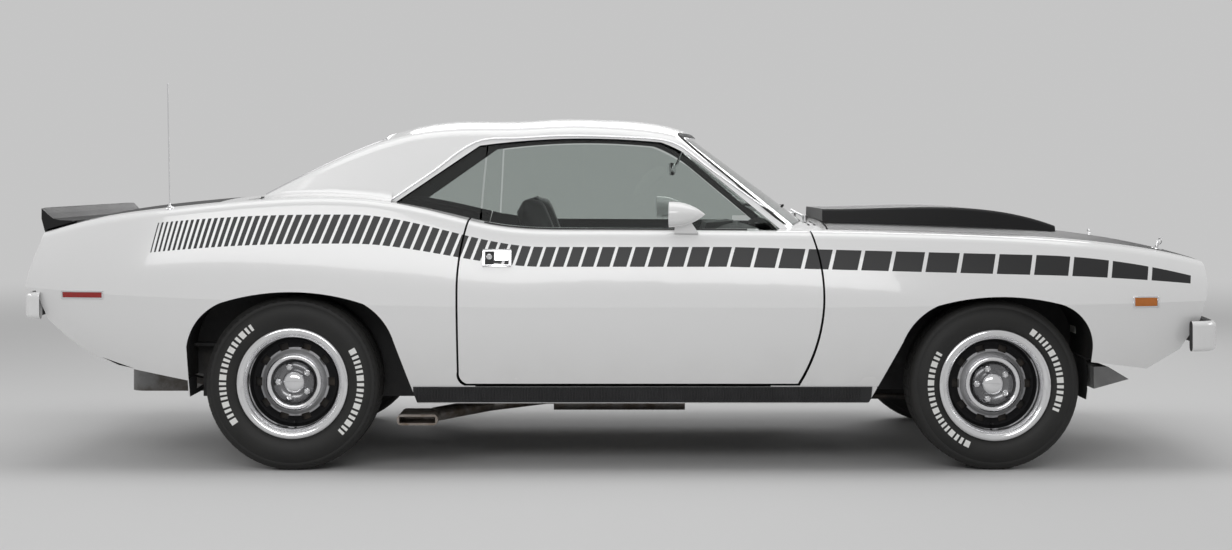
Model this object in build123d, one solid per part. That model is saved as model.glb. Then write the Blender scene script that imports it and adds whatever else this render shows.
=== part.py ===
"""Two-door hardtop muscle car, built from separate panels, glass, cabin, running gear and wheels.

Millimetres. +X is forward, +Y the car's left, +Z up. The origin is on the ground under the middle of the
overall length, on the centre plane. Heights are taken with the car standing on its tyres.
"""

import os
from math import asin, degrees, hypot, radians, sqrt, tan

from build123d import *

# ---------------------------------------------------------------- driving dimensions
LENGTH = 4742                      # over the bumpers
WHEELBASE = 2743
FRONT_OVERHANG = 933               # front axle to the tip of the front bumper
FRONT_AXLE = LENGTH / 2 - FRONT_OVERHANG
REAR_AXLE = FRONT_AXLE - WHEELBASE
FRONT_TYRE_RADIUS = 332
REAR_TYRE_RADIUS = 340
FRONT_TRACK = 1516
REAR_TRACK = 1530
FRONT_TYRE_WIDTH = 235
REAR_TYRE_WIDTH = 245

SKIN = 18                          # outer panels, skin with its folded flange
SHUT_GAP = 8                       # gap round doors, hood and deck lid
SEAT_CLEARANCE = 0.3               # between pieces that are bolted face to face on curved skins
DOOR_BOTTOM = 337
DOOR_INNER_Y = 750                 # inner face of the door trim
DOOR_HINGE_X, DOOR_HINGE_Y = 700, 922
DOOR_HINGE_Z = (585, 655)          # heights of the two door hinges
HINGE_PIN_RADIUS = 4
HINGE_ARM = 20                     # height of a hinge arm
HINGE_REACH = 74                   # how far the goose-neck arm goes inboard before it turns forward
PILLAR_X = 776                     # front hinge pillar

PILLAR_NOTCH_X = 520               # the door's upper front corner is cut back here for the windscreen pillar
PILLAR_NOTCH_Y = 806
HANDLE_X = (-557, -453)
HANDLE_Z = (800, 862)
SILL_INNER_Y = 780
SILL_TOP = DOOR_BOTTOM - SHUT_GAP
SILL_REAR_X, SILL_FRONT_X = -838, 955
FENDER_BOTTOM = SILL_TOP + 0.3
MOULDING = 5
QUARTER_INNER_Y = 752
FILLER_REAR_X = -1625 + SHUT_GAP
FILLER_FRONT_X = -1500
GLASS_SEAM_X = -580                # seam between door glass and quarter glass at the belt
GLASS_EDGE = 6
GLASS_FOOT_Z = 905
GLASS_CORNER_Z = 962               # the door glass stops here ahead of the pillar notch

ROOF_WALL = 26                     # roof skin, rails and pillars
GLASS_INSET = 9                    # side glass behind the roof side
GLASS = 5
WINDSCREEN_FOOT_X = 852            # centre of the windscreen plane at WINDSCREEN_FOOT_Z
WINDSCREEN_FOOT_Z = 900
WINDSCREEN_RAKE = 1.35             # backwards travel for each unit of height
WINDSCREEN_BOW = 1850              # radius seen from above

HOOD_REAR_X = 800
HOOD_REAR_Y, HOOD_FRONT_Y = 742, 690
HOOD_REAR_BOW = 26
HOOD_LIP_Z = 778                   # lower edge of the hood's front lip, over the grille
DECK_FRONT_X = -1625
DECK_FRONT_Y, DECK_REAR_Y = 700, 672
COWL_FRONT_X, COWL_REAR_X = HOOD_REAR_X - SHUT_GAP, 594

DECK_LIP_Z = 905                   # lower edge of the deck lid's rear lip
COWL_Y = 806
BULGE_SKIN = 8
HOOD_FRAME_DEPTH = 46
# Raised centre of the hood. Columns: x, half width at the top, top z.
BULGE_SECTIONS = [
    (780, 330, 1012),
    (1250, 325, 1019),
    (1590, 310, 996),
    (1800, 296, 940),
]

NOSE_OPENING_Y = 705               # the nose panel spans between the front wings
NOSE_LOWER_Z = 588
VALANCE_REAR_X = 2030
MOUTH_Y, MOUTH_BOTTOM_Z, MOUTH_TOP_Z = 686, 612, 758
GRILLE_X = 2256
GRILLE_BARS = 7
BOW_RADIUS = 7000
LAMP_X, LAMP_Y, LAMP_Z, LAMP_RADIUS = 2226, 596, 685, 72
BUMPER_DEPTH = 44
BUMPER_CORNER, BUMPER_R_CORNER = 76, 48
BUMPER_F_BOW, BUMPER_F_HALF, BUMPER_F_END_X, BUMPER_F_Z = 5800, 816, 2198, (466, 584)
BUMPER_R_BOW, BUMPER_R_HALF, BUMPER_R_END_X, BUMPER_R_Z = 24000, 822, -2298, (592, 697)
PLATE_HOLE, PLATE_PITCH = 3.5, 178
IRON_Y, IRON, IRON_F_Z, IRON_R_Z = 400, 50, (505, 550), (620, 665)
TAIL_LAMP_Y, TAIL_LAMP_Z = (210, 660), (752, 858)
SPOILER_SECTION = [
    (-2195, 950), (-2195, 972), (-2241, 974), (-2269, 981), (-2292, 1001), (-2317, 1026), (-2322, 1020),
    (-2302, 940), (-2290, 900),
]
SPOILER_Y, SPOILER_CORNER_X, SPOILER_CENTRE_X = 770, -2312, -2326

FLOOR = 12
FLOOR_Z = 262
REAR_FLOOR_Z = 500
BOOT_FLOOR_Z = 470
BOOT_STEP_Z = 590
FIREWALL_X = 646
TUNNEL_WALL = 9
# Propeller shaft tunnel. Columns: x, half width at the floor, half width at the top, top z.
TUNNEL_SECTIONS = [(-740, 140, 100, 400), (250, 150, 112, 436), (658, 225, 168, 566)]
RAIL_Y = 380                       # inner face of the front rails
DOOR_SWING = 12                    # inboard swing of the door's front edge, with its clearance
SPRING_Y, SPRING_FRONT_X, SPRING_REAR_X = 500, -775, -2012
PROPSHAFT_FRONT_X = 99
REAR_HOUSE_Y = 600                 # inner face of the rear wheelhouses
FRONT_HOUSE_Y = 442
RADIATOR_X = 2090
DASH_Y = 728
STEER_Y, STEER_END, STEER_RADIUS = 370, (262, 370, 818), 188
MIRROR_Y, MIRROR_FOOT_Y = 908, 868
ANTENNA_X, ANTENNA_Y, ANTENNA_FOOT_Z = -1790, 838, 1020

BEAD_RADIUS = 191.3                # inside the tyre's bead, on a 15 inch rim
DRUM_RADIUS = 130
DRUM_BACK = 22                     # the brake drum ends this far inboard of the wheel's centre plane
HUB_BORE = 31
LOWER_BALL, UPPER_BALL = -108, 96  # ball joints over and under the wheel centre
TRIM_RING_RADIUS = 216
KINGPIN_Y = 698                    # steering axis at wheel centre height
KINGPIN_LEAN = 6                   # degrees, top inwards
BALL_RADIUS = 14
RUNNING_CLEARANCE = 0.5

# Lower body sections. Columns: x, bottom z, bottom half width, widest half width, height of the widest line,
# shoulder half width, shoulder z, crown z on the centre plane.
BODY_SECTIONS = [
    (-2420, 440, 750, 846, 715, 796, 900, 930),
    (-2150, 400, 800, 905, 700, 838, 964, 995),
    (-1800, 300, 835, 938, 680, 866, 1018, 1044),
    (-1300, 262, 855, 951, 660, 868, 1062, 1076),
    (-1000, 262, 862, 948, 650, 862, 1054, 1066),
    (-750, 262, 864, 942, 645, 862, 1008, 1032),
    (-500, 262, 865, 938, 640, 866, 950, 992),
    (-200, 262, 865, 936, 640, 870, 935, 972),
    (300, 262, 865, 936, 640, 870, 933, 966),
    (750, 262, 865, 938, 640, 870, 929, 964),
    (1150, 262, 860, 942, 645, 868, 921, 956),
    (1600, 262, 845, 938, 650, 858, 902, 936),
    (2000, 300, 800, 905, 655, 832, 864, 896),
    (2360, 400, 740, 846, 660, 786, 782, 812),
]
SHOULDER_RADIUS = 42
# Nose and tail in side view at the corners (x, z), bowed in plan so that the middle stands further out.
NOSE_PROFILE = [
    (2225, 1000), (2240, 858), (2266, 800), (2274, 738), (2268, 680), (2243, 588), (2166, 470), (2038, 394),
    (1928, 410), (1806, 425), (1806, 200),
]
TAIL_PROFILE = [
    (-2262, 1100), (-2291, 912), (-2338, 775), (-2351, 708), (-2306, 702), (-2262, 590), (-2192, 523),
    (-2098, 453), (-2005, 410), (-1715, 351), (-1715, 200),
]
NOSE_X, TAIL_X = 2274, -2352
END_CORNER_Y = 850
NOSE_BOW, TAIL_BOW = 52, 14
SIDE_BULGE_LOW, SIDE_BULGE_HIGH = 15, 9

# Greenhouse sections. Columns: x, base half width, roof rail half width, rail z, crown z on the centre plane.
ROOF_SECTIONS = [
    (-1800, 730, 640, 930, 950),
    (-1500, 775, 640, 1046, 1066),
    (-1300, 792, 634, 1148, 1180),
    (-1100, 798, 629, 1240, 1278),
    (-900, 800, 626, 1306, 1352),
    (-650, 800, 622, 1336, 1382),
    (-300, 800, 620, 1345, 1391),
    (0, 798, 618, 1338, 1385),
    (170, 796, 614, 1316, 1364),
    (270, 793, 608, 1288, 1334),
    (380, 790, 600, 1240, 1284),
    (600, 786, 592, 1160, 1200),
    (900, 780, 584, 1080, 1110),
]
ROOF_BASE_Z = 860
RAIL_RADIUS = 58
ROOF_SIDE_BULGE = 12

os.makedirs("parts", exist_ok=True)


# ---------------------------------------------------------------- small helpers
def polygon(points):
    """A flat face with straight sides."""
    return make_face(Polyline(*points, close=True))


def outline(*edges):
    """A flat face from edges that meet end to end."""
    return make_face(edges)


def side_prism(face, y_low, y_high):
    """A side view outline (x, z), carried across the car."""
    return Pos(0, y_high, 0) * extrude(Plane.XZ * face, y_high - y_low)


def plan_prism(face, z_low, z_high):
    """A plan view outline (x, y), carried upwards."""
    return Pos(0, 0, z_low) * extrude(face, z_high - z_low)


def front_prism(face, x_low, x_high):
    """A front view outline (y, z), carried along the car."""
    return Pos(x_low, 0, 0) * extrude(Plane.YZ * face, x_high - x_low)


def block(x0, x1, y0, y1, z0, z1):
    """A plain box between two corners."""
    return Pos((x0 + x1) / 2, (y0 + y1) / 2, (z0 + z1) / 2) * Box(abs(x1 - x0), abs(y1 - y0), abs(z1 - z0))


def rod(start, end, radius):
    """A round bar between two points."""
    a, b = Vector(*start), Vector(*end)
    plane = Plane(origin=a, z_dir=b - a)
    return extrude(plane * Circle(radius), (b - a).length)


def mirrored(shape):
    """The same piece on the car's other side."""
    return mirror(shape, about=Plane.XZ)


def both_sides(shape):
    """A piece and its mirror image, as one node."""
    return Compound([*shape.solids(), *mirrored(shape).solids()])


def write(name, shape):
    """Writes one node, without any sliver that a cut may leave."""
    solids = [s for s in shape.solids() if s.volume > 40]
    export_step(solids[0] if len(solids) == 1 else Compound(solids), f"parts/{name}.step")


# ---------------------------------------------------------------- body surfaces
def flipped(point):
    """The same section point on the other side."""
    return (-point[0], point[1])


def body_section(row, inset):
    """One closed section of the lower body. The inner surface has no floor, so it runs on below the skin."""
    x, z_low, y_low, y_wide, z_wide, y_top, z_top, z_crown = row
    low, wide = (y_low - inset, z_low - 4 * inset), (y_wide - inset, z_wide)
    top, crown = (y_top - inset, z_top - inset), (0, z_crown - inset)
    lower = ((low[0] + wide[0]) / 2 + SIDE_BULGE_LOW, (low[1] + wide[1]) / 2)
    upper = ((wide[0] + top[0]) / 2 + SIDE_BULGE_HIGH, (wide[1] + top[1]) / 2)
    face = outline(
        Line(flipped(low), low),
        ThreePointArc(low, lower, wide),
        ThreePointArc(wide, upper, top),
        ThreePointArc(top, crown, flipped(top)),
        ThreePointArc(flipped(top), flipped(upper), flipped(wide)),
        ThreePointArc(flipped(wide), flipped(lower), flipped(low)),
    )
    corners = [v for v in face.vertices() if abs(v.Y - top[1]) < 0.01]
    return Plane.YZ.offset(x) * fillet(corners, SHOULDER_RADIUS)


def bowed_end(profile, corner_x, corner_y, bow, reach):
    """All that lies beyond an end profile (x, z) which is bowed in plan by bow at the centre."""
    radius = (corner_y**2 + bow**2) / (2 * bow)
    side = 1 if reach > corner_x else -1
    centre_x = corner_x + side * (bow - radius)
    points = [(abs(x + side * bow - centre_x), z) for x, z in profile]
    far = abs(reach - centre_x)
    face = polygon([(far, points[0][1]), *points, (far, points[-1][1])])
    ring = revolve(Plane.XZ * face, Axis.Z, 40)
    return Pos(centre_x, 0, 0) * Rot(0, 0, -20 if side > 0 else 160) * ring


def body_solid(inset=0):
    """The lower body as one solid, set in from the skin, with its nose and tail cut to their profiles."""
    shape = loft([body_section(row, inset) for row in BODY_SECTIONS])
    nose = bowed_end([(x - inset, z) for x, z in NOSE_PROFILE], NOSE_X, END_CORNER_Y, NOSE_BOW, 3000)
    tail = bowed_end([(x + inset, z) for x, z in TAIL_PROFILE], TAIL_X, END_CORNER_Y, TAIL_BOW, -3000)
    return shape - nose - tail


def roof_section(row, inset):
    """One closed section of the greenhouse, set in from the skin."""
    x, y_base, y_rail, z_rail, z_crown = row
    base, rail, crown = (y_base - inset, ROOF_BASE_Z), (y_rail - inset, z_rail - inset), (0, z_crown - inset)
    side = ((base[0] + rail[0]) / 2 + ROOF_SIDE_BULGE, (base[1] + rail[1]) / 2)
    face = outline(
        Line(flipped(base), base),
        ThreePointArc(base, side, rail),
        ThreePointArc(rail, crown, flipped(rail)),
        ThreePointArc(flipped(rail), flipped(side), flipped(base)),
    )
    corners = [v for v in face.vertices() if abs(v.Y - rail[1]) < 0.01]
    limit = 0.45 * (z_rail - ROOF_BASE_Z)
    return Plane.YZ.offset(x) * fillet(corners, min(RAIL_RADIUS, limit))


def roof_loft(inset=0):
    """The greenhouse before the windscreen is cut, set in from the skin."""
    return loft([roof_section(row, inset) for row in ROOF_SECTIONS])


def windscreen_front(depth=0):
    """All that lies in front of the windscreen's outer face, moved back by depth."""
    x = WINDSCREEN_FOOT_X - depth * hypot(1, WINDSCREEN_RAKE)
    sag = WINDSCREEN_BOW - sqrt(WINDSCREEN_BOW**2 - 1000**2)
    ahead = outline(
        ThreePointArc((x - sag, -1000), (x, 0), (x - sag, 1000)),
        Line((x - sag, 1000), (x + 900, 1000)),
        Line((x + 900, 1000), (x + 900, -1000)),
        Line((x + 900, -1000), (x - sag, -1000)),
    )
    below = 200
    slope = Vector(-WINDSCREEN_RAKE, 0, 1)
    start = Pos(below * WINDSCREEN_RAKE, 0, WINDSCREEN_FOOT_Z - below) * ahead
    return extrude(start, 900 * slope.length, dir=slope)


BODY = body_solid()
BODY_INNER = body_solid(SKIN)
GREENHOUSE = roof_loft() - windscreen_front()
GREENHOUSE_INNER = roof_loft(ROOF_WALL) - windscreen_front(ROOF_WALL)


def skin(region):
    """The outer skin of the lower body inside a region."""
    return (BODY & region) - BODY_INNER


# ---------------------------------------------------------------- outlines that panels share
def front_arch(grow=0):
    """The front wheel opening in side view, grown all round."""
    g = grow
    return outline(
        Line((1797 + g, 200), (1812 + g, 480)),
        ThreePointArc((1812 + g, 480), (1765 + g, 600 + g), (1670, 655 + g)),
        ThreePointArc((1670, 655 + g), (1440, 681 + g), (1205, 648 + g)),
        ThreePointArc((1205, 648 + g), (1125 - g, 592 + g), (1070 - g, 505)),
        Line((1070 - g, 505), (910 - g, 200)),
        Line((910 - g, 200), (1797 + g, 200)),
    )


def rear_arch(grow=0):
    """The rear wheel opening in side view, grown all round."""
    g = grow
    return outline(
        Line((-1709 - g, 200), (-1711 - g, 485)),
        ThreePointArc((-1711 - g, 485), (-1668 - g, 585 + g), (-1572, 659 + g)),
        ThreePointArc((-1572, 659 + g), (-1270, 700 + g), (-1020, 655 + g)),
        ThreePointArc((-1020, 655 + g), (-950 + g, 595 + g), (-905 + g, 510)),
        Line((-905 + g, 510), (-795 + g, 200)),
        Line((-795 + g, 200), (-1709 - g, 200)),
    )


def door_outline(shrink=0):
    """The door in side view, its seam set in all round."""
    s = shrink
    return outline(
        ThreePointArc((683 - s, 1010), (762 - s, 735), (669 - s, DOOR_BOTTOM + s)),
        Line((669 - s, DOOR_BOTTOM + s), (-628 + s, DOOR_BOTTOM + s)),
        ThreePointArc((-628 + s, DOOR_BOTTOM + s), (-648 + s, DOOR_BOTTOM + 14 + s), (-657 + s, 388)),
        Line((-657 + s, 388), (-660 + s, 700)),
        ThreePointArc((-660 + s, 700), (-648 + s, 855), (-608 + s, 1010)),
        Line((-608 + s, 1010), (683 - s, 1010)),
    )


def hood_outline(shrink=0):
    """The hood in plan view."""
    s = shrink
    y_rear, y_front = HOOD_REAR_Y - s, HOOD_FRONT_Y - s
    return outline(
        Line((HOOD_REAR_X + s, y_rear), (2500, y_front)),
        Line((2500, y_front), (2500, -y_front)),
        Line((2500, -y_front), (HOOD_REAR_X + s, -y_rear)),
        ThreePointArc((HOOD_REAR_X + s, -y_rear), (HOOD_REAR_X + HOOD_REAR_BOW + s, 0),
                      (HOOD_REAR_X + s, y_rear)),
    )


def deck_outline(shrink=0):
    """The deck lid in plan view."""
    s = shrink
    y_front, y_rear = DECK_FRONT_Y - s, DECK_REAR_Y - s
    front = DECK_FRONT_X - s
    return polygon([(front, -y_front), (front, y_front), (-2500, y_rear), (-2500, -y_rear)])


# ---------------------------------------------------------------- side panels (left side, +Y)
def door():
    """The left door, one solid as thick as skin and trim, with the slot that its glass stands in."""
    shape = BODY & side_prism(door_outline(SHUT_GAP / 2), DOOR_INNER_Y, 1000)
    pillar_notch = block(PILLAR_NOTCH_X, 800, 700, PILLAR_NOTCH_Y + SHUT_GAP, 868, 1100)
    slot = side_glass_band(GLASS_INSET - 4, GLASS_INSET + GLASS + 4)
    slot = slot & block(GLASS_SEAM_X - 8, PILLAR_NOTCH_X + 1, 700, 900, GLASS_FOOT_Z - SEAT_CLEARANCE, 1100)
    shape = shape - pillar_notch - slot
    armrest = fillet(block(-330, 330, DOOR_INNER_Y - 45, DOOR_INNER_Y + 5, 640, 700).edges(), 12)
    grip = block(*HANDLE_X, 880, 1000, *HANDLE_Z)
    handle_plate = skin(grip) - Pos(0, -4, 0) * BODY
    finger_well = Pos((HANDLE_X[0] + HANDLE_X[1]) / 2, 937, HANDLE_Z[0] + 14) * Box(86, 24, 30)
    shape = (shape + armrest) - fillet(finger_well.edges().filter_by(Axis.Y), 10) - handle_plate
    for z in DOOR_HINGE_Z:
        bore = Pos(DOOR_HINGE_X, DOOR_HINGE_Y, z) * Cylinder(HINGE_PIN_RADIUS + SEAT_CLEARANCE,
                                                             3 * HINGE_ARM + 2)
        shape = shape - hinge_pocket(z) - bore
    return shape


def hinge_pocket(z):
    """Room in the left door for a goose-neck hinge arm over the door's whole travel."""
    high = HINGE_ARM / 2 + 3
    eye = HINGE_PIN_RADIUS + 2
    return block(DOOR_HINGE_X - 14, PILLAR_X, DOOR_HINGE_Y - HINGE_REACH - 22, DOOR_HINGE_Y + eye + 0.5,
                 z - high, z + high)


def hinge_arm(z):
    """A left door hinge: goose-neck arm from the pillar to the pin that the door turns on."""
    low, high = z - HINGE_ARM / 2, z + HINGE_ARM / 2
    eye = HINGE_PIN_RADIUS + 2
    inboard = DOOR_HINGE_Y - HINGE_REACH
    arm = block(DOOR_HINGE_X - eye, DOOR_HINGE_X + eye, inboard - 12, DOOR_HINGE_Y, low, high)
    arm += block(DOOR_HINGE_X - eye, PILLAR_X + 2, inboard - 12, inboard, low, high)
    arm += Pos(DOOR_HINGE_X, DOOR_HINGE_Y, z) * Cylinder(eye, HINGE_ARM)
    return arm + Pos(DOOR_HINGE_X, DOOR_HINGE_Y, z) * Cylinder(HINGE_PIN_RADIUS, 3 * HINGE_ARM)


def side_glass_band(outer, inner):
    """The left side of the greenhouse between two depths, for side glass and the slots it stands in."""
    half = GREENHOUSE & block(-1200, 800, 300, 1000, ROOF_BASE_Z, 1500)
    band = (Pos(0, -outer, 0) * half) - (Pos(0, -inner, 0) * half)
    return band & block(-1200, PILLAR_NOTCH_X + 90, 560, 1000, ROOF_BASE_Z, 1500)


def side_opening(shrink=0):
    """The door glass and quarter glass opening in side view, down to below the belt."""
    s = shrink
    return outline(
        Line((-926 + s, 1038), (-587 + s, 1271 - s)),
        ThreePointArc((-587 + s, 1271 - s), (-230, 1299 - s), (141 - s, 1284 - s)),
        ThreePointArc((141 - s, 1284 - s), (252 - s, 1230 - s), (300 - s, 1195)),
        Line((300 - s, 1195), (650 - s, GLASS_FOOT_Z)),
        Line((650 - s, GLASS_FOOT_Z), (-926 + s, GLASS_FOOT_Z)),
        Line((-926 + s, GLASS_FOOT_Z), (-926 + s, 1038)),
    )


def door_glass():
    """The left door glass, from inside the door to the roof rail."""
    edge = side_prism(side_opening(GLASS_EDGE), 300, 1000)
    seam_side = polygon([(GLASS_SEAM_X, 890), (GLASS_SEAM_X + 36, 1400), (700, 1400), (700, 890)])
    front_of_seam = side_prism(seam_side, 300, 1000)
    pane = side_glass_band(GLASS_INSET, GLASS_INSET + GLASS) & edge & front_of_seam
    return pane - block(PILLAR_NOTCH_X - SHUT_GAP, 800, 0, 1000, 800, GLASS_CORNER_Z)


def quarter_glass():
    """The left rear side glass, which stands in the quarter panel."""
    gap = SHUT_GAP
    edge = side_prism(side_opening(SEAT_CLEARANCE), 300, 1000)
    seam = GLASS_SEAM_X - gap
    behind = polygon([(seam, 890), (seam + 36, 1400), (-1100, 1400), (-1100, 890)])
    return (side_glass_band(GLASS_INSET, GLASS_INSET + GLASS) & edge & side_prism(behind, 300, 1000)) - BODY


def fender():
    """The left front wing, from the door seam to the nose."""
    region = side_prism(polygon([(560, FENDER_BOTTOM), (560, 1100), (2400, 1100), (2400, 200), (980, 200),
                                 (980, FENDER_BOTTOM)]), 500, 1000)
    shape = skin(region) - side_prism(door_outline(-SHUT_GAP / 2), 400, 1000)
    shape = shape - side_prism(front_arch(), 400, 1000)
    shape = shape - plan_prism(hood_outline(-SHUT_GAP), HOOD_LIP_Z - SHUT_GAP, 1200)
    shape = shape - block(0, COWL_FRONT_X, 0, PILLAR_NOTCH_Y, 700, 1200)
    shape = shape - block(0, 900, 0, HOOD_REAR_Y, 300, 1200)
    shape = shape - block(0, 720, 0, 1000, 700, 1200) - block(0, 900, 0, 1000, 0, SILL_TOP)
    shape = shape - block(VALANCE_REAR_X - SEAT_CLEARANCE, 2500, 0, NOSE_OPENING_Y, 300, HOOD_LIP_Z)
    return shape


def quarter():
    """The left rear quarter: skin, the ledge beside the deck lid and the lock pillar."""
    region = side_prism(polygon([(-2420, 300), (-2420, 1200), (-590, 1200), (-590, SILL_TOP),
                                 (-850, SILL_TOP), (-850, 200)]), 500, 1000)
    shape = skin(region) - side_prism(door_outline(-SHUT_GAP / 2), 400, 1000)
    shape = shape - side_prism(rear_arch(), 400, 1000)
    shape = shape - block(-2600, FILLER_REAR_X, 0, DECK_FRONT_Y + SHUT_GAP, 300, 1200)
    shape = shape - block(FILLER_REAR_X - 1, 0, 0, QUARTER_INNER_Y, 300, 1200)
    pillar = BODY & block(-700, -664, QUARTER_INNER_Y, 1000, SILL_TOP, 930)
    pillar = pillar - side_prism(door_outline(-SHUT_GAP / 2), 400, 1000)
    return (shape + pillar) - side_glass_band(GLASS_INSET - 3, GLASS_INSET + GLASS + 3)


def sill():
    """The left sill: a closed box below the door with its floor flange."""
    side_view = [(SILL_REAR_X, 200), (SILL_REAR_X - 15, SILL_TOP),
                 (SILL_FRONT_X + 20, SILL_TOP), (SILL_FRONT_X, 200)]
    region = side_prism(polygon(side_view), SILL_INNER_Y, 1000)
    shape = BODY & region
    return shape - side_prism(front_arch(), 400, 1000) - side_prism(rear_arch(), 400, 1000)


def sill_moulding():
    """The left ribbed sill moulding, a plate that stands just proud of the sill."""
    region = side_prism(polygon([(-832, 266), (-832, 328), (955, 328), (952, 266)]), 700, 1000)
    proud = (Pos(0, MOULDING, 0) * BODY & region) - BODY
    proud = proud - side_prism(front_arch(), 400, 1000) - side_prism(rear_arch(), 400, 1000)
    return proud


# ---------------------------------------------------------------- centre panels
def cowl():
    """The panel between hood and windscreen, with its air slots."""
    middle = block(COWL_REAR_X, COWL_FRONT_X + 40, -COWL_Y, COWL_Y, 860, 1100)
    shape = skin(middle) - plan_prism(hood_outline(-SHUT_GAP), 700, 1200)
    sides = both_sides(block(COWL_FRONT_X, 900, HOOD_REAR_Y, 1000, 700, 1200))
    shape = shape - sides - both_sides(side_prism(door_outline(-SHUT_GAP / 2), PILLAR_NOTCH_Y, 1000))
    slots = [Pos(x, y, 950) * Box(10, 120, 200) for x in (742, 766) for y in (-520, -360, 360, 520)]
    return shape - slots


def hood():
    """The hood skin with its raised centre, open at the front for air."""
    shell = skin(plan_prism(hood_outline(), HOOD_LIP_Z, 1200))
    bulge = loft([Plane.YZ.offset(x) * bulge_section(half, top) for x, half, top in BULGE_SECTIONS])
    hollow = Pos(0, 0, -BULGE_SKIN) * bulge
    raised = bulge - BODY
    raised = raised & plan_prism(hood_outline(), 700, 1200)
    frame = BODY_INNER & plan_prism(hood_frame_outline(), HOOD_LIP_Z, 1200)
    frame = frame - Pos(0, 0, -HOOD_FRAME_DEPTH) * BODY
    return (shell + raised) - (hollow & block(900, 1700, -240, 240, 700, 1200)) + frame


def bulge_section(half, top):
    """One section of the hood's raised centre, rounded on its upper corners."""
    face = polygon([(-half - 30, 850), (half + 30, 850), (half, top), (-half, top)])
    corners = [v for v in face.vertices() if v.Y > top - 1]
    return fillet(corners, 16)


def hood_frame_outline():
    """Stiffening frame under the hood skin, in plan: a ladder with four openings."""
    face = plan_rect(900, 2180, -640, 640)
    for x0, x1 in ((960, 1480), (1560, 2120)):
        for y0, y1 in ((-590, -300), (300, 590)):
            face = face - plan_rect(x0, x1, y0, y1)
    return face - plan_rect(900, 1720, -255, 255)


def plan_rect(x0, x1, y0, y1):
    """A rectangle in plan."""
    return Pos((x0 + x1) / 2, (y0 + y1) / 2) * Rectangle(x1 - x0, y1 - y0)


def deck_lid():
    """The boot lid skin with its inner frame."""
    shell = skin(plan_prism(deck_outline(), DECK_LIP_Z, 1200))
    frame = plan_rect(-2200, -1660, -620, 620)
    frame -= plan_rect(-2140, -1720, -560, -60) + plan_rect(-2140, -1720, 60, 560)
    inner = (BODY_INNER & plan_prism(frame, 900, 1200)) - Pos(0, 0, -42) * BODY
    return shell + inner


def rear_spoiler():
    """The upturned lip along the back of the deck lid, wide over both quarters."""
    section = polygon(SPOILER_SECTION)
    span = SPOILER_Y
    shape = side_prism(section, -span, span)
    shape = fillet(shape.edges().filter_by(Axis.Y).group_by(Axis.Z)[-1], 6)
    plan = outline(
        ThreePointArc((SPOILER_CORNER_X, -span), (SPOILER_CENTRE_X, 0), (SPOILER_CORNER_X, span)),
        Line((SPOILER_CORNER_X, span), (-2100, span - 40)),
        Line((-2100, span - 40), (-2100, -span + 40)),
        Line((-2100, -span + 40), (SPOILER_CORNER_X, -span)),
    )
    lid = plan_prism(deck_outline(), 700, 1200)
    shape = shape & plan_prism(plan, 900, 1100)
    return (shape & lid) - BODY + ((shape - lid) - Pos(0, 0, SHUT_GAP) * BODY)


def filler_panel():
    """The body panel between the rear window and the deck lid."""
    wide = QUARTER_INNER_Y - SEAT_CLEARANCE
    return skin(block(FILLER_REAR_X, FILLER_FRONT_X, -wide, wide, 800, 1200))


def roof():
    """Roof skin with its pillars, cut for the windscreen, side glass and rear window."""
    shell = GREENHOUSE - GREENHOUSE_INNER - BODY
    shell = shell - both_sides(side_prism(side_opening(), 300, 1000))
    shell = shell - front_prism(windscreen_opening(), 100, 1100)
    shell = shell - plan_prism(rear_window_opening(), 900, 1500)
    return shell - block(-2000, FILLER_REAR_X, -1000, 1000, 800, 1500)


def windscreen_opening(shrink=0):
    """The windscreen opening in front view."""
    s = shrink
    face = polygon([(-712 + s, 900), (712 - s, 900), (548 - s, 1308 - s), (-548 + s, 1308 - s)])
    return fillet([v for v in face.vertices() if v.Y > 1200], 60)


def rear_window_opening(shrink=0):
    """The rear window opening in plan."""
    s = shrink
    face = polygon([(-985 - s, -530 + s), (-985 - s, 530 - s), (-1530 + s, 600 - s), (-1530 + s, -600 + s)])
    return fillet(face.vertices(), 50)


def windscreen():
    """The windscreen, bedded in its opening."""
    pane = (windscreen_front(GLASS_INSET + GLASS) - windscreen_front(GLASS_INSET)) & GREENHOUSE
    pane &= front_prism(windscreen_opening(SEAT_CLEARANCE), 100, 1100)
    return pane - Pos(0, 0, SEAT_CLEARANCE) * BODY


def rear_window():
    """The rear window, bedded in its opening."""
    pane = (Pos(0, 0, -GLASS_INSET) * GREENHOUSE) - (Pos(0, 0, -GLASS_INSET - GLASS) * GREENHOUSE)
    return (pane & plan_prism(rear_window_opening(SEAT_CLEARANCE), 900, 1500)) - BODY


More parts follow.
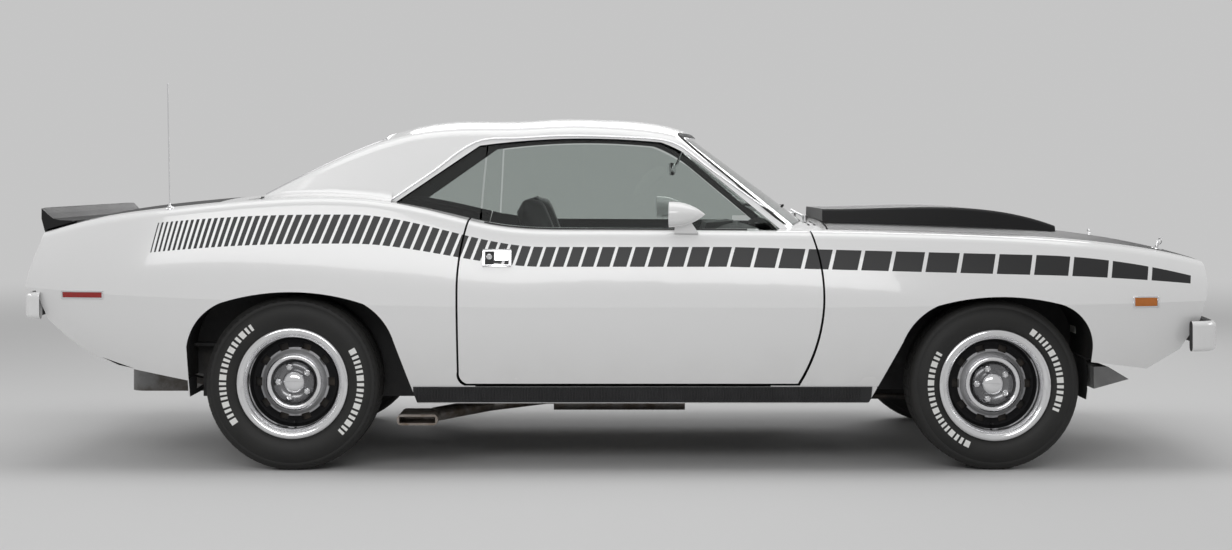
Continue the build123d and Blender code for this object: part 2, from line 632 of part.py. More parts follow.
def grille():
    """The nose panel round the grille mouth, with bars, a centre post and the lamp cans' ring seats."""
    wide = NOSE_OPENING_Y - SEAT_CLEARANCE
    region = block(2100, 2400, -wide, wide, NOSE_LOWER_Z, HOOD_LIP_Z - SHUT_GAP)
    panel = skin(region) - front_prism(mouth_outline(), 2000, 2500)
    bars = []
    for row in range(GRILLE_BARS):
        z = MOUTH_BOTTOM_Z + (row + 1) * (MOUTH_TOP_Z - MOUTH_BOTTOM_Z) / (GRILLE_BARS + 1)
        bars.append(plan_prism(bow_band(GRILLE_X, 22, LAMP_Y - LAMP_RADIUS - 24), z - 2.5, z + 2.5))
    posts = []
    for y in (-452, -300, -150, 0, 150, 300, 452):
        depth = 46 if y == 0 else 18
        x = GRILLE_X - y * y / (2 * BOW_RADIUS)
        posts.append(block(x - 24, x - 24 + depth, y - (9 if y == 0 else 4), y + (9 if y == 0 else 4),
                           MOUTH_BOTTOM_Z - 20, MOUTH_TOP_Z + 6))
    back = front_prism(ring_outline(), GRILLE_X - 60, GRILLE_X - 24)
    gap = SHUT_GAP - SEAT_CLEARANCE
    top = HOOD_LIP_Z - SHUT_GAP
    buffers = [block(2288, 2300, y - 20, y + 20, top - 10, top + gap) for y in (-500, 500)]
    return (panel + back + posts) + bars + buffers


def bow_band(x, depth, half):
    """A strip in plan that follows the bow of the nose."""
    sag = half * half / (2 * BOW_RADIUS)
    return outline(
        ThreePointArc((x - sag, -half), (x, 0), (x - sag, half)),
        Line((x - sag, half), (x - sag - depth, half)),
        ThreePointArc((x - sag - depth, half), (x - depth, 0), (x - sag - depth, -half)),
        Line((x - sag - depth, -half), (x - sag, -half)),
    )


def mouth_outline():
    """The grille mouth in front view."""
    height = MOUTH_TOP_Z - MOUTH_BOTTOM_Z
    return Pos(0, (MOUTH_TOP_Z + MOUTH_BOTTOM_Z) / 2) * RectangleRounded(2 * MOUTH_Y, height, 40)


def ring_outline():
    """The surround behind the grille mouth, with a seat for each headlamp."""
    middle, high = (NOSE_LOWER_Z + HOOD_LIP_Z) / 2, HOOD_LIP_Z - NOSE_LOWER_Z - 40
    face = Pos(0, middle) * Rectangle(2 * NOSE_OPENING_Y - 40, high)
    face = face - Pos(0, LAMP_Z) * Rectangle(2 * (LAMP_Y - LAMP_RADIUS - 16), MOUTH_TOP_Z - MOUTH_BOTTOM_Z)
    for side in (-1, 1):
        face = face - Pos(side * LAMP_Y, LAMP_Z) * Circle(LAMP_RADIUS + SEAT_CLEARANCE)
    return face


def headlamps():
    """Two round headlamps with their bezels, set in the grille mouth."""
    lens = outline(
        TangentArc((0, 44), (LAMP_RADIUS - 6, 17), tangent=(1, 0)),
        Line((LAMP_RADIUS - 6, 17), (LAMP_RADIUS, 14)),
        Line((LAMP_RADIUS, 14), (LAMP_RADIUS, -30)),
        TangentArc((0, -78), (LAMP_RADIUS, -30), tangent=(1, 0)),
        Line((0, -78), (0, 44)),
    )
    lamp = Pos(LAMP_X, LAMP_Y, LAMP_Z) * Rot(0, 90, 0) * revolve(Plane.XZ * lens, Axis.Z)
    return both_sides(lamp)


def bumper_bar(tip_x, bow_radius, bow_half, corner_radius, end_x, section):
    """A bar that bows across the car, turns round both corners and ends at end_x, from its section."""
    depth = section.bounding_box().size.X / 2
    turn = degrees(asin(bow_half / bow_radius))
    bow = JernArc(start=(tip_x - depth, 0), tangent=(0, 1), radius=bow_radius, arc_size=turn)
    corner = JernArc(start=bow @ 1, tangent=bow % 1, radius=corner_radius, arc_size=90 - turn)
    run = Line(corner @ 1, (end_x, (corner @ 1).Y))
    half = [bow, corner, run]
    start = Plane(origin=(tip_x - depth, 0, 0), x_dir=(1, 0, 0), z_dir=(0, 1, 0))
    left = sweep(start * section, path=Wire(half))
    return left + mirrored(left)


def bumper_front():
    """The front bumper, bowed across the nose and turned back round the corners, with its two irons."""
    height = BUMPER_F_Z[1] - BUMPER_F_Z[0]
    section = RectangleRounded(BUMPER_DEPTH, height, BUMPER_DEPTH / 2 - 2)
    bar = bumper_bar(LENGTH / 2, BUMPER_F_BOW, BUMPER_F_HALF, BUMPER_CORNER, BUMPER_F_END_X, section)
    bar = Pos(0, 0, (BUMPER_F_Z[0] + BUMPER_F_Z[1]) / 2) * bar
    irons = block(RADIATOR_X + FLOOR, LENGTH / 2 - BUMPER_DEPTH / 2, IRON_Y, IRON_Y + IRON, *IRON_F_Z)
    return bar + irons + mirrored(irons) - plate_holes(1, BUMPER_F_Z)


def plate_holes(side, heights):
    """Two holes through a bumper for a number plate."""
    z = sum(heights) / 2
    return [rod((side * (LENGTH / 2 - 100), y, z), (side * (LENGTH / 2 + 20), y, z), PLATE_HOLE)
            for y in (-PLATE_PITCH / 2, PLATE_PITCH / 2)]


def bumper_rear():
    """The rear bumper, nearly straight across the tail, with its two irons."""
    height = BUMPER_R_Z[1] - BUMPER_R_Z[0]
    section = RectangleRounded(BUMPER_DEPTH, height, BUMPER_DEPTH / 2 - 2)
    bar = bumper_bar(LENGTH / 2, BUMPER_R_BOW, BUMPER_R_HALF, BUMPER_R_CORNER, -BUMPER_R_END_X, section)
    bar = mirror(bar, about=Plane.YZ)
    bar = Pos(0, 0, (BUMPER_R_Z[0] + BUMPER_R_Z[1]) / 2) * bar
    irons = block(-LENGTH / 2 + BUMPER_DEPTH / 2, -2255, IRON_Y, IRON_Y + IRON, *IRON_R_Z)
    bar = bar - Pos(-SEAT_CLEARANCE, 0, 0) * BODY
    return bar + irons + mirrored(irons) - plate_holes(-1, BUMPER_R_Z)


def tail_panel():
    """The upright panel between the rear quarters, with its two lamp recesses and the deck lid's sill."""
    limit = DECK_FRONT_Y + SHUT_GAP - 0.3
    region = block(-2500, -2180, -limit, limit, 585, DECK_LIP_Z - SHUT_GAP)
    panel = skin(region)
    recess = [block(-2400, -2300, *sorted((s * TAIL_LAMP_Y[0], s * TAIL_LAMP_Y[1])), *TAIL_LAMP_Z)
              for s in (-1, 1)]
    top = DECK_LIP_Z - SHUT_GAP
    buffers = [block(-2300, -2288, y - 20, y + 20, top - 10, top + SHUT_GAP - SEAT_CLEARANCE)
               for y in (-500, 500)]
    return (panel - recess - iron_ways(IRON_R_Z)) + buffers


def tail_lamps():
    """Two wide rear lamps in the tail panel."""
    lamps = []
    for side in (-1, 1):
        y0, y1 = sorted((side * TAIL_LAMP_Y[0], side * TAIL_LAMP_Y[1]))
        lamp = BODY & block(-2400, -2300, y0 + 0.5, y1 - 0.5, TAIL_LAMP_Z[0] + 0.5, TAIL_LAMP_Z[1] - 0.5)
        lamps += (lamp - Pos(SKIN - 2, 0, 0) * BODY).solids()
    return Compound(lamps)


def front_valance():
    """The panel under the front bumper with its air opening."""
    region = block(1830, 2400, -NOSE_OPENING_Y + 0.3, NOSE_OPENING_Y - 0.3, 380, NOSE_LOWER_Z - 0.3)
    skin_face = skin(region) - block(1800, VALANCE_REAR_X, -1000, 1000, 0, 2000)
    opening = front_prism(Pos(0, 445) * RectangleRounded(820, 44, 20), 1900, 2400)
    return skin_face - opening - iron_ways(IRON_F_Z)


def iron_ways(heights):
    """Clearance through a panel for a pair of bumper irons."""
    gap = 1
    way = block(-2500, 2500, IRON_Y - gap, IRON_Y + IRON + gap, heights[0] - gap, heights[1] + gap)
    return both_sides(way)


def rear_valance():
    """The panel under the rear bumper."""
    limit = DECK_FRONT_Y + SHUT_GAP - 0.3
    return skin(block(-2400, -2060, -limit, limit, 405, 584.7))


def chin_spoiler():
    """Two small air deflectors under the front wings."""
    plate = side_prism(polygon([(1824, 318), (1960, 356), (1880, 404), (1824, 404)]), 560, 862)
    return both_sides(plate - BODY)


# ---------------------------------------------------------------- floor and inner structure
def tunnel(inset):
    """The propeller shaft tunnel, wide over the gearbox and narrow between the seats."""
    sections = []
    for x, base, top, height in TUNNEL_SECTIONS:
        points = [(-base + inset, FLOOR_Z - inset), (-top + inset, height - inset),
                  (top - inset, height - inset),
                  (base - inset, FLOOR_Z - inset)]
        sections.append(Plane.YZ.offset(x) * polygon(points))
    return loft(sections, ruled=True)


def wheelhouses():
    """The left wheelhouses, front and rear, with the front apron and its rail."""
    houses = side_prism(rear_arch(26), REAR_HOUSE_Y, 900) & BODY_INNER_TRIM
    houses -= side_prism(rear_arch(14), REAR_HOUSE_Y + FLOOR, 1000)
    houses -= block(-1800, -700, 0, 1000, 0, FLOOR_Z)
    houses -= block(REAR_AXLE - 80, REAR_AXLE + 80, REAR_HOUSE_Y - 1, REAR_HOUSE_Y + FLOOR + 1,
                    0, REAR_TYRE_RADIUS + 120)
    houses -= block(-905, -600, SILL_INNER_Y - SEAT_CLEARANCE, 1000, 0, SILL_TOP + SEAT_CLEARANCE)
    front = side_prism(front_arch(26), FRONT_HOUSE_Y, 900) & BODY_INNER_TRIM
    front -= side_prism(front_arch(14), FRONT_HOUSE_Y + FLOOR, 1000)
    front -= block(700, 2100, 0, 1000, 0, 430)
    apron = block(FIREWALL_X + FLOOR, RADIATOR_X, FRONT_HOUSE_Y, FRONT_HOUSE_Y + FLOOR, 430, 790)
    apron -= block(2020, 2100, 0, 1000, 0, 470)
    apron += block(FIREWALL_X, 2020, RAIL_Y, FRONT_HOUSE_Y + FLOOR, 380, 440)
    arm_way = block(FRONT_AXLE - 135, FRONT_AXLE + 135, FRONT_HOUSE_Y - 1, FRONT_HOUSE_Y + FLOOR + 1,
                    441, 478)
    return houses + ((front + apron) - arm_way)


def hinge_pillar():
    """The left front hinge pillar with both door hinges."""
    half = DOOR_INNER_Y - DOOR_SWING
    pillar = block(PILLAR_X, PILLAR_X + 34, half - 40, 930, SILL_TOP + SEAT_CLEARANCE, 880) & BODY_INNER_TRIM
    web = block(FIREWALL_X, PILLAR_X + 34, half - 40, half - 28, FLOOR_Z, 880)
    return (pillar + web) + [hinge_arm(z) for z in DOOR_HINGE_Z]


def inner_structure():
    """Floor, tunnel, firewall, wheelhouses, boot floor, aprons, rails and radiator support, all welded."""
    inner = SILL_INNER_Y
    half = DOOR_INNER_Y - DOOR_SWING
    solids = block(-720, FIREWALL_X + FLOOR, -inner, inner, FLOOR_Z, FLOOR_Z + FLOOR)
    solids += block(FIREWALL_X, FIREWALL_X + FLOOR, -half, half, FLOOR_Z, 905)
    solids += tunnel(0)
    solids -= tunnel(TUNNEL_WALL)
    solids += block(-740, -720, -inner, inner, FLOOR_Z, REAR_FLOOR_Z) - tunnel(TUNNEL_WALL)
    solids += block(-1640, -720, -REAR_HOUSE_Y, REAR_HOUSE_Y, REAR_FLOOR_Z, REAR_FLOOR_Z + FLOOR)
    solids += block(-1652, -1640, -REAR_HOUSE_Y, REAR_HOUSE_Y, BOOT_FLOOR_Z, REAR_FLOOR_Z + FLOOR)
    solids += block(-2090, -1640, -680, 680, BOOT_FLOOR_Z, BOOT_FLOOR_Z + FLOOR)
    solids += block(-2102, -2090, -680, 680, BOOT_FLOOR_Z, BOOT_STEP_Z + FLOOR)
    solids += block(-2238, -2102, -680, 680, BOOT_STEP_Z, BOOT_STEP_Z + FLOOR)
    side = wheelhouses() + hinge_pillar()
    solids += side
    solids += mirrored(side)
    support = NOSE_OPENING_Y - 60
    solids += block(RADIATOR_X, RADIATOR_X + FLOOR, -support, support, 472, 775)
    solids -= block(RADIATOR_X - 5, RADIATOR_X + FLOOR + 5, -340, 340, 490, 745)
    return solids


def structure_between(x0, x1):
    """The stretch of the inner structure between two cross planes."""
    return STRUCTURE & block(x0, x1, -1000, 1000, 0, 1200)


def radiator():
    """The radiator core, held in its support."""
    return block(RADIATOR_X - 45, RADIATOR_X + 20, -339.7, 339.7, 490.3, 744.7)


def engine():
    """Engine and gearbox as plain masses at their real place."""
    motor = block(760, 1520, -260, 260, 330, 800)
    motor = chamfer(motor.edges().filter_by(Axis.X), 70)
    sump = block(980, 1360, -150, 150, 240, 331)
    bell = loft([Plane.YZ.offset(760) * (Pos(0, 400) * Circle(160)),
                 Plane.YZ.offset(600) * (Pos(0, 362) * Circle(92))])
    box = Pos(350, 0, 350) * Box(500, 170, 140)
    air_cleaner = Pos(1180, 0, 800) * extrude(Circle(180), 75)
    mounts = block(1180, 1280, -RAIL_Y + 0.3, RAIL_Y - 0.3, 385, 430)
    return motor + sump + bell + box + air_cleaner + mounts


def hub_end(track, radius, axle):
    """The left hub carrier's outer end: brake backing plate and the spindle that the wheel turns on."""
    hub = track / 2
    back = hub - DRUM_BACK - 1
    plate = rod((axle, back - 6, radius), (axle, back, radius), DRUM_RADIUS + 4)
    spindle = rod((axle, back - 6, radius), (axle, hub + 14, radius), HUB_BORE - RUNNING_CLEARANCE)
    return plate + spindle


def propshaft_and_axle():
    """Rear axle with its differential, brake backing plates, leaf springs and propeller shaft."""
    z = REAR_TYRE_RADIUS
    hub = REAR_TRACK / 2 - DRUM_BACK - 3
    shape = rod((REAR_AXLE, -hub, z), (REAR_AXLE, hub, z), 38)
    shape += Pos(REAR_AXLE, 0, z) * Sphere(128)
    shape += rod((REAR_AXLE + 100, 0, z), (PROPSHAFT_FRONT_X, 0, 352), 34)
    front, rear, low = (SPRING_FRONT_X, 335), (SPRING_REAR_X, 411), z - 62
    for side in (-1, 1):
        spring = outline(
            ThreePointArc((front[0], front[1] - 10), (REAR_AXLE, low - 26), (rear[0], rear[1] - 10)),
            Line((rear[0], rear[1] - 10), (rear[0], rear[1] + 10)),
            ThreePointArc((rear[0], rear[1] + 10), (REAR_AXLE, low), (front[0], front[1] + 10)),
            Line((front[0], front[1] + 10), (front[0], front[1] - 10)),
        )
        carrier = side_prism(spring, SPRING_Y, SPRING_Y + 60)
        carrier += block(REAR_AXLE - 50, REAR_AXLE + 50, SPRING_Y - 5, SPRING_Y + 65, low - 6, z - 20)
        for x, height in (front, rear):
            carrier += rod((x, SPRING_Y - 10, height), (x, SPRING_Y + 70, height), 24)
        top = BOOT_FLOOR_Z - SEAT_CLEARANCE
        carrier += block(rear[0] - 14, rear[0] + 14, SPRING_Y - 10, SPRING_Y + 70, rear[1], top)
        kick = -740 - SEAT_CLEARANCE
        carrier += block(kick - 30, kick, SPRING_Y - 10, SPRING_Y + 70, front[1] - 30, front[1] + 70)
        carrier += hub_end(REAR_TRACK, z, REAR_AXLE)
        shape += carrier if side > 0 else mirrored(carrier)
    return shape


def kingpin_point(height):
    """The steering axis at a height over the wheel centre: y and z."""
    return (KINGPIN_Y - height * tan(radians(KINGPIN_LEAN)), FRONT_TYRE_RADIUS + height)


def kingpin_rod(low, high, radius):
    """A round bar on the left steering axis between two heights over the wheel centre."""
    return rod((FRONT_AXLE, *kingpin_point(low)), (FRONT_AXLE, *kingpin_point(high)), radius)


def front_suspension():
    """Upper and lower arms, torsion bars and the crossmember that carries them."""
    shape = block(FRONT_AXLE - 60, FRONT_AXLE + 60, -RAIL_Y + 0.3, RAIL_Y - 0.3, 200, 262)
    low, high = kingpin_point(LOWER_BALL - 17), kingpin_point(UPPER_BALL)
    plate_z = high[1] + 14
    for side in (-1, 1):
        piece = rod((FRONT_AXLE, RAIL_Y - 40, 228), (FRONT_AXLE, *low), 11)
        piece += kingpin_rod(LOWER_BALL - 28, LOWER_BALL - SEAT_CLEARANCE, BALL_RADIUS)
        piece += rod((FRONT_AXLE + 200, RAIL_Y + 20, 238), (FRONT_AXLE + 14, low[0] - 150, 222), 9)
        piece += rod((FRONT_AXLE + 10, RAIL_Y - 30, 232), (420, 330, 232), 12)
        piece += block(FRONT_AXLE + 190, FRONT_AXLE + 215, RAIL_Y, RAIL_Y + 40, 228, 380 - SEAT_CLEARANCE)
        piece += block(395, 425, 300, 360, 215, FLOOR_Z - SEAT_CLEARANCE)
        piece += block(FRONT_AXLE - 60, FRONT_AXLE + 60, RAIL_Y - 30, RAIL_Y - 0.3, 262, plate_z + 20)
        arm = polygon([(FRONT_AXLE - 120, RAIL_Y + 50), (FRONT_AXLE + 120, RAIL_Y + 50),
                       (FRONT_AXLE + 18, high[0] + 14), (FRONT_AXLE - 18, high[0] + 14)])
        piece += plan_prism(arm, plate_z, plate_z + 20)
        piece += block(FRONT_AXLE - 60, FRONT_AXLE + 60, RAIL_Y - 1, RAIL_Y + 52, plate_z, plate_z + 20)
        piece += kingpin_rod(UPPER_BALL + SEAT_CLEARANCE, UPPER_BALL + 22, BALL_RADIUS)
        shape += piece if side > 0 else mirrored(piece)
    return shape


def knuckle():
    """The left upright: spindle, brake backing plate, steering arm and the two ball joint eyes."""
    z = FRONT_TYRE_RADIUS
    low = kingpin_point(LOWER_BALL)
    post = kingpin_rod(LOWER_BALL, UPPER_BALL, BALL_RADIUS - 2)
    inner = rod((FRONT_AXLE, KINGPIN_Y - 16, z), (FRONT_AXLE, FRONT_TRACK / 2 - DRUM_BACK - 6, z), 40)
    arm = rod((FRONT_AXLE, low[0] - 4, low[1] + 20), (FRONT_AXLE - 105, low[0] - 60, low[1] + 14), 10)
    return post + inner + arm + hub_end(FRONT_TRACK, z, FRONT_AXLE)


def exhaust():
    """Twin pipes with a silencer each, turned out ahead of the rear wheels."""
    path = [(900, 290, 400), (770, 235, 222), (-330, 235, 215), (-560, 400, 205), (-760, 720, 202)]
    pipe = None
    for start, end in zip(path, path[1:]):
        piece = rod(start, end, 28) + Pos(*end) * Sphere(28)
        pipe = piece if pipe is None else pipe + piece
    silencer = fillet(block(-300, 250, 170, 300, 165, 250).edges().filter_by(Axis.X), 40)
    tip = fillet(block(-895, -735, 690, 900, 180, 222).edges().filter_by(Axis.Y), 19)
    tip = tip - block(-885, -745, 760, 1000, 189, 213)
    hanger = block(-620, -600, 460, 480, 205, FLOOR_Z - SEAT_CLEARANCE)
    return both_sides(pipe + silencer + tip + hanger)


def fuel_tank():
    """The fuel tank, hung under the boot floor."""
    tank = block(-2045, -1665, -420, 420, 262, BOOT_FLOOR_Z - SEAT_CLEARANCE)
    return fillet(tank.edges().filter_by(Axis.Z), 70)


# ---------------------------------------------------------------- cabin
def dashboard():
    """Dashboard with its hooded instrument panel and the steering column."""
    section = outline(
        Line((FIREWALL_X - 0.3, 640), (FIREWALL_X - 0.3, 900)),
        Line((FIREWALL_X - 0.3, 900), (560, 926)),
        ThreePointArc((560, 926), (420, 922), (366, 880)),
        Line((366, 880), (400, 740)),
        Line((400, 740), (470, 640)),
        Line((470, 640), (FIREWALL_X - 0.3, 640)),
    )
    board = side_prism(section, -DASH_Y, DASH_Y)
    cluster = side_prism(polygon([(352, 905), (366, 940), (480, 948), (480, 740), (388, 752)]), 190, 610)
    column = rod((560, STEER_Y, 720), STEER_END, 26)
    return board + cluster + column


def steering_wheel():
    """Steering wheel, three spokes and hub, square to the column."""
    rim = Torus(STEER_RADIUS, 13)
    hub = Cylinder(46, 30)
    spokes = [Rot(0, 0, a) * Pos(STEER_RADIUS / 2 + 12, 0, 0) * Box(STEER_RADIUS - 34, 30, 7)
              for a in (0, 90, 180)]
    shape = rim + hub + spokes
    start, end = Vector(560, STEER_Y, 720), Vector(*STEER_END)
    axis = (end - start).normalized()
    place = Plane(origin=end + axis * (15 + 0.5), x_dir=(0, 1, 0), z_dir=axis)
    return place * shape


def front_seat():
    """The left front seat: cushion, high back with its head rest, and the runners."""
    cushion = block(-330, 190, 172, 660, 400, 520)
    cushion = fillet(cushion.edges(), 38)
    bolsters = [fillet(block(-300, 150, y, y + 70, 470, 552).edges(), 30) for y in (172, 590)]
    outline_back = polygon([(-250, 470), (-130, 480), (-350, 1040), (-440, 1030)])
    back = side_prism(outline_back, 180, 652)
    back = fillet(back.edges().filter_by(Axis.Y), 34)
    front_view = [(180, 400), (180, 760), (268, 960), (275, 1100),
                  (557, 1100), (564, 960), (652, 760), (652, 400)]
    taper = front_prism(polygon(front_view), -600, 300)
    back = back & taper
    runners = [block(-280, 140, y, y + 40, FLOOR_Z + FLOOR, 405) for y in (225, 545)]
    return cushion + bolsters + back + runners


def rear_seat():
    """The rear bench with its sloping back."""
    base = REAR_FLOOR_Z + FLOOR + SEAT_CLEARANCE
    half = REAR_HOUSE_Y - 2
    cushion = fillet(block(-1130, -730, -half, half, base, base + 130).edges(), 34)
    back_side = [(-1010, base + 100), (-1130, base + 60), (-1270, 955), (-1200, 985), (-1130, 975)]
    back = side_prism(polygon(back_side), -half, half)
    back = fillet(back.edges().filter_by(Axis.Y), 22)
    return cushion + back


def shelf():
    """The parcel shelf and the bulkhead between cabin and boot."""
    plate = block(-1505, -1215, -QUARTER_INNER_Y + 6, QUARTER_INNER_Y - 6, 990, 1002)
    foot = REAR_FLOOR_Z + FLOOR
    wall_side = polygon([(-1290, 992), (-1278, 992), (-1155, foot), (-1167, foot)])
    wall = side_prism(wall_side, -REAR_HOUSE_Y, REAR_HOUSE_Y)
    return plate + wall


# ---------------------------------------------------------------- small outside pieces
def mirror_pod():
    """The left door mirror: a bullet-shaped shell on its foot."""
    profile = outline(
        Line((0, 0), (0, 50)),
        ThreePointArc((0, 50), (60, 44), (142, 0)),
        Line((142, 0), (0, 0)),
    )
    shell = revolve(Plane.XZ * profile, Axis.X)
    shell = shell - Pos(-1, 0, 0) * Rot(0, 90, 0) * Cylinder(44, 16)
    pod = Pos(162, MIRROR_Y, 1000) * shell
    foot = loft([
        Pos(218, MIRROR_Y - 8, 972) * Rectangle(60, 20),
        Pos(232, MIRROR_FOOT_Y, 925) * Rectangle(96, 30),
    ])
    return (pod + foot) - Pos(0, 0, SEAT_CLEARANCE) * BODY


def wipers():
    """Two wiper arms with their blades, at rest along the windscreen's foot."""
    arms = []
    for y in (330, -180):
        x, z = 764, 968
        spindle = (Pos(x, y, z - 8) * Cylinder(11, 44)) - Pos(0, 0, SEAT_CLEARANCE) * BODY
        arm = rod((x, y, z + 6), (x - 36, y + 230, z + 32), 5)
        arms.append(spindle + arm)
    return Compound([s for a in arms for s in a.solids()])


def antenna():
    """The whip aerial on the right rear quarter."""
    y = -ANTENNA_Y
    mast = Pos(ANTENNA_X, y, ANTENNA_FOOT_Z) * Rot(0, -1, 0) * Pos(0, 0, 246) * Cylinder(2.5, 492)
    foot = Pos(ANTENNA_X, y, ANTENNA_FOOT_Z) * Cylinder(13, 20)
    return (mast + foot) - Pos(0, 0, SEAT_CLEARANCE) * BODY


# ---------------------------------------------------------------- wheels
def rim(track, radius, axle):
    """The left wheel with its trim ring, slotted disc, brake drum and hub, on its axle."""
    section = outline(
        Line((203, -96), (203, -90)),
        Line((203, -90), (191, -88)),
        Line((191, -88), (188, -62)),
        Line((188, -62), (172, -44)),
        Line((172, -44), (172, 20)),
        Line((172, 20), (188, 46)),
        Line((188, 46), (191, 88)),
        Line((191, 88), (204, 92)),
        Line((204, 92), (206, 108)),
        Line((206, 108), (TRIM_RING_RADIUS, 107)),
        ThreePointArc((TRIM_RING_RADIUS, 107), (204, 116), (190, 108)),
        ThreePointArc((190, 108), (180, 92), (178, 70)),
        Line((178, 70), (180, 50)),
        Line((180, 50), (165, 26)),
        ThreePointArc((165, 26), (148, 27), (126, 38)),
        Line((126, 38), (108, 60)),
        ThreePointArc((108, 60), (99, 66), (90, 60)),
        Line((90, 60), (80, 36)),
        Line((80, 36), (44, 36)),
        Line((44, 36), (40, 62)),
        ThreePointArc((40, 62), (22, 70), (0.01, 72)),
        Line((0.01, 72), (0.01, 24)),
        Line((0.01, 24), (HUB_BORE, 24)),
        Line((HUB_BORE, 24), (HUB_BORE, -DRUM_BACK)),
        Line((HUB_BORE, -DRUM_BACK), (62, -DRUM_BACK)),
        Line((62, -DRUM_BACK), (62, 0)),
        Line((62, 0), (DRUM_RADIUS - 8, 0)),
        Line((DRUM_RADIUS - 8, 0), (DRUM_RADIUS - 8, -DRUM_BACK)),
        Line((DRUM_RADIUS - 8, -DRUM_BACK), (DRUM_RADIUS, -DRUM_BACK)),
        Line((DRUM_RADIUS, -DRUM_BACK), (DRUM_RADIUS, 8)),
        Line((DRUM_RADIUS, 8), (90, 8)),
        Line((90, 8), (90, 26)),
        Line((90, 26), (100, 50)),
        Line((100, 50), (118, 28)),
        Line((118, 28), (150, 16)),
        Line((150, 16), (166, 14)),
        Line((166, 14), (166, -40)),
        Line((166, -40), (182, -60)),
        Line((182, -60), (184, -92)),
        Line((184, -92), (203, -96)),
    )
    shape = revolve(Plane.XZ * section, Axis.Z)
    slot = Pos(142, 0, 24) * Box(26, 34, 60)
    shape = shape - [Rot(0, 0, 36 * n) * slot for n in range(10)]
    nut = Pos(62, 0, 44) * extrude(RegularPolygon(11, 6), 18)
    shape = shape + [Rot(0, 0, 72 * n + 36) * Pos(0, 0, -9) * nut for n in range(5)]
    return Pos(axle, track / 2, radius) * Rot(-90, 0, 0) * shape


def tyre(track, radius, width, axle):
    """The left tyre, hollow, with a flat tread and rounded sidewalls."""
    half = width / 2
    shoulder = radius - 20
    section = outline(
        Line((BEAD_RADIUS, 86), (206, 90)),
        ThreePointArc((206, 90), (252, half), (shoulder - 10, half - 10)),
        ThreePointArc((shoulder - 10, half - 10), (radius - 8, half - 18), (radius - 2, half - 34)),
        ThreePointArc((radius - 2, half - 34), (radius, 0), (radius - 2, 34 - half)),
        ThreePointArc((radius - 2, 34 - half), (radius - 8, 18 - half), (shoulder - 10, 10 - half)),
        ThreePointArc((shoulder - 10, 10 - half), (252, -half), (206, -90)),
        Line((206, -90), (BEAD_RADIUS, -86)),
        Line((BEAD_RADIUS, -86), (BEAD_RADIUS, -74)),
        ThreePointArc((BEAD_RADIUS, -74), (250, 14 - half), (shoulder - 14, 26 - half)),
        Line((shoulder - 14, 26 - half), (shoulder - 14, half - 26)),
        ThreePointArc((shoulder - 14, half - 26), (250, half - 14), (BEAD_RADIUS, 74)),
        Line((BEAD_RADIUS, 74), (BEAD_RADIUS, 86)),
    )
    shape = revolve(Plane.XZ * section, Axis.Z)
    return Pos(axle, track / 2, radius) * Rot(-90, 0, 0) * shape


# ---------------------------------------------------------------- write every node
BODY_INNER_TRIM = Pos(0, -SEAT_CLEARANCE, 0) * BODY_INNER
STRUCTURE = inner_structure()

SIDES = {
    "door": door(),
    "door_glass": door_glass(),
    "fender": fender(),
    "quarter": quarter(),
    "sill": sill(),
    "mirror": mirror_pod(),
    "knuckle": knuckle(),
    "rim_front": rim(FRONT_TRACK, FRONT_TYRE_RADIUS, FRONT_AXLE),
    "tyre_front": tyre(FRONT_TRACK, FRONT_TYRE_RADIUS, FRONT_TYRE_WIDTH, FRONT_AXLE),
    "rim_rear": rim(REAR_TRACK, REAR_TYRE_RADIUS, REAR_AXLE),
    "tyre_rear": tyre(REAR_TRACK, REAR_TYRE_RADIUS, REAR_TYRE_WIDTH, REAR_AXLE),
}
for name, shape in SIDES.items():
    write(f"{name}_left", shape)
    write(f"{name}_right", mirrored(shape))

SINGLES = {
    "sill_mouldings": both_sides(sill_moulding()),
    "quarter_glass": both_sides(quarter_glass()),
    "front_seats": both_sides(front_seat()),
    "cowl": cowl(),
    "hood": hood(),
    "deck_lid": deck_lid(),
    "rear_spoiler": rear_spoiler(),
    "filler_panel": filler_panel(),
    "roof": roof(),
    "windscreen": windscreen(),
    "rear_window": rear_window(),
    "grille": grille(),
    "headlamps": headlamps(),
    "front_bumper": bumper_front(),
    "rear_bumper": bumper_rear(),
    "tail_panel": tail_panel(),
    "tail_lamps": tail_lamps(),
    "front_valance": front_valance(),
    "rear_valance": rear_valance(),
    "chin_spoiler": chin_spoiler(),
    "floor_pan": structure_between(-740, FIREWALL_X + FLOOR),
    "boot_floor": structure_between(-2500, -740),
    "front_structure": structure_between(FIREWALL_X + FLOOR, 2500),
    "radiator": radiator(),
    "engine": engine(),
    "rear_axle": propshaft_and_axle(),
    "front_suspension": front_suspension(),
    "exhaust": exhaust(),
    "fuel_tank": fuel_tank(),
    "dashboard": dashboard(),
    "steering_wheel": steering_wheel(),
    "rear_seat": rear_seat(),
    "parcel_shelf": shelf(),
    "antenna": antenna(),
    "wipers": wipers(),
}
for name, shape in SINGLES.items():
    write(name, shape)
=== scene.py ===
"""Two-door hardtop muscle car: paint, glass, wheels, seats, cabin and trim round its solid frame.

Metres. +X is forward, +Y the car's left, +Z up, and the origin is on the ground under the middle of the car.
"""

import logging
import math
from dataclasses import dataclass
from enum import Enum
from typing import Any, ClassVar, Iterable, NamedTuple, Sequence

import bmesh
import bpy
from mathutils import Matrix, Vector
from mathutils.bvhtree import BVHTree


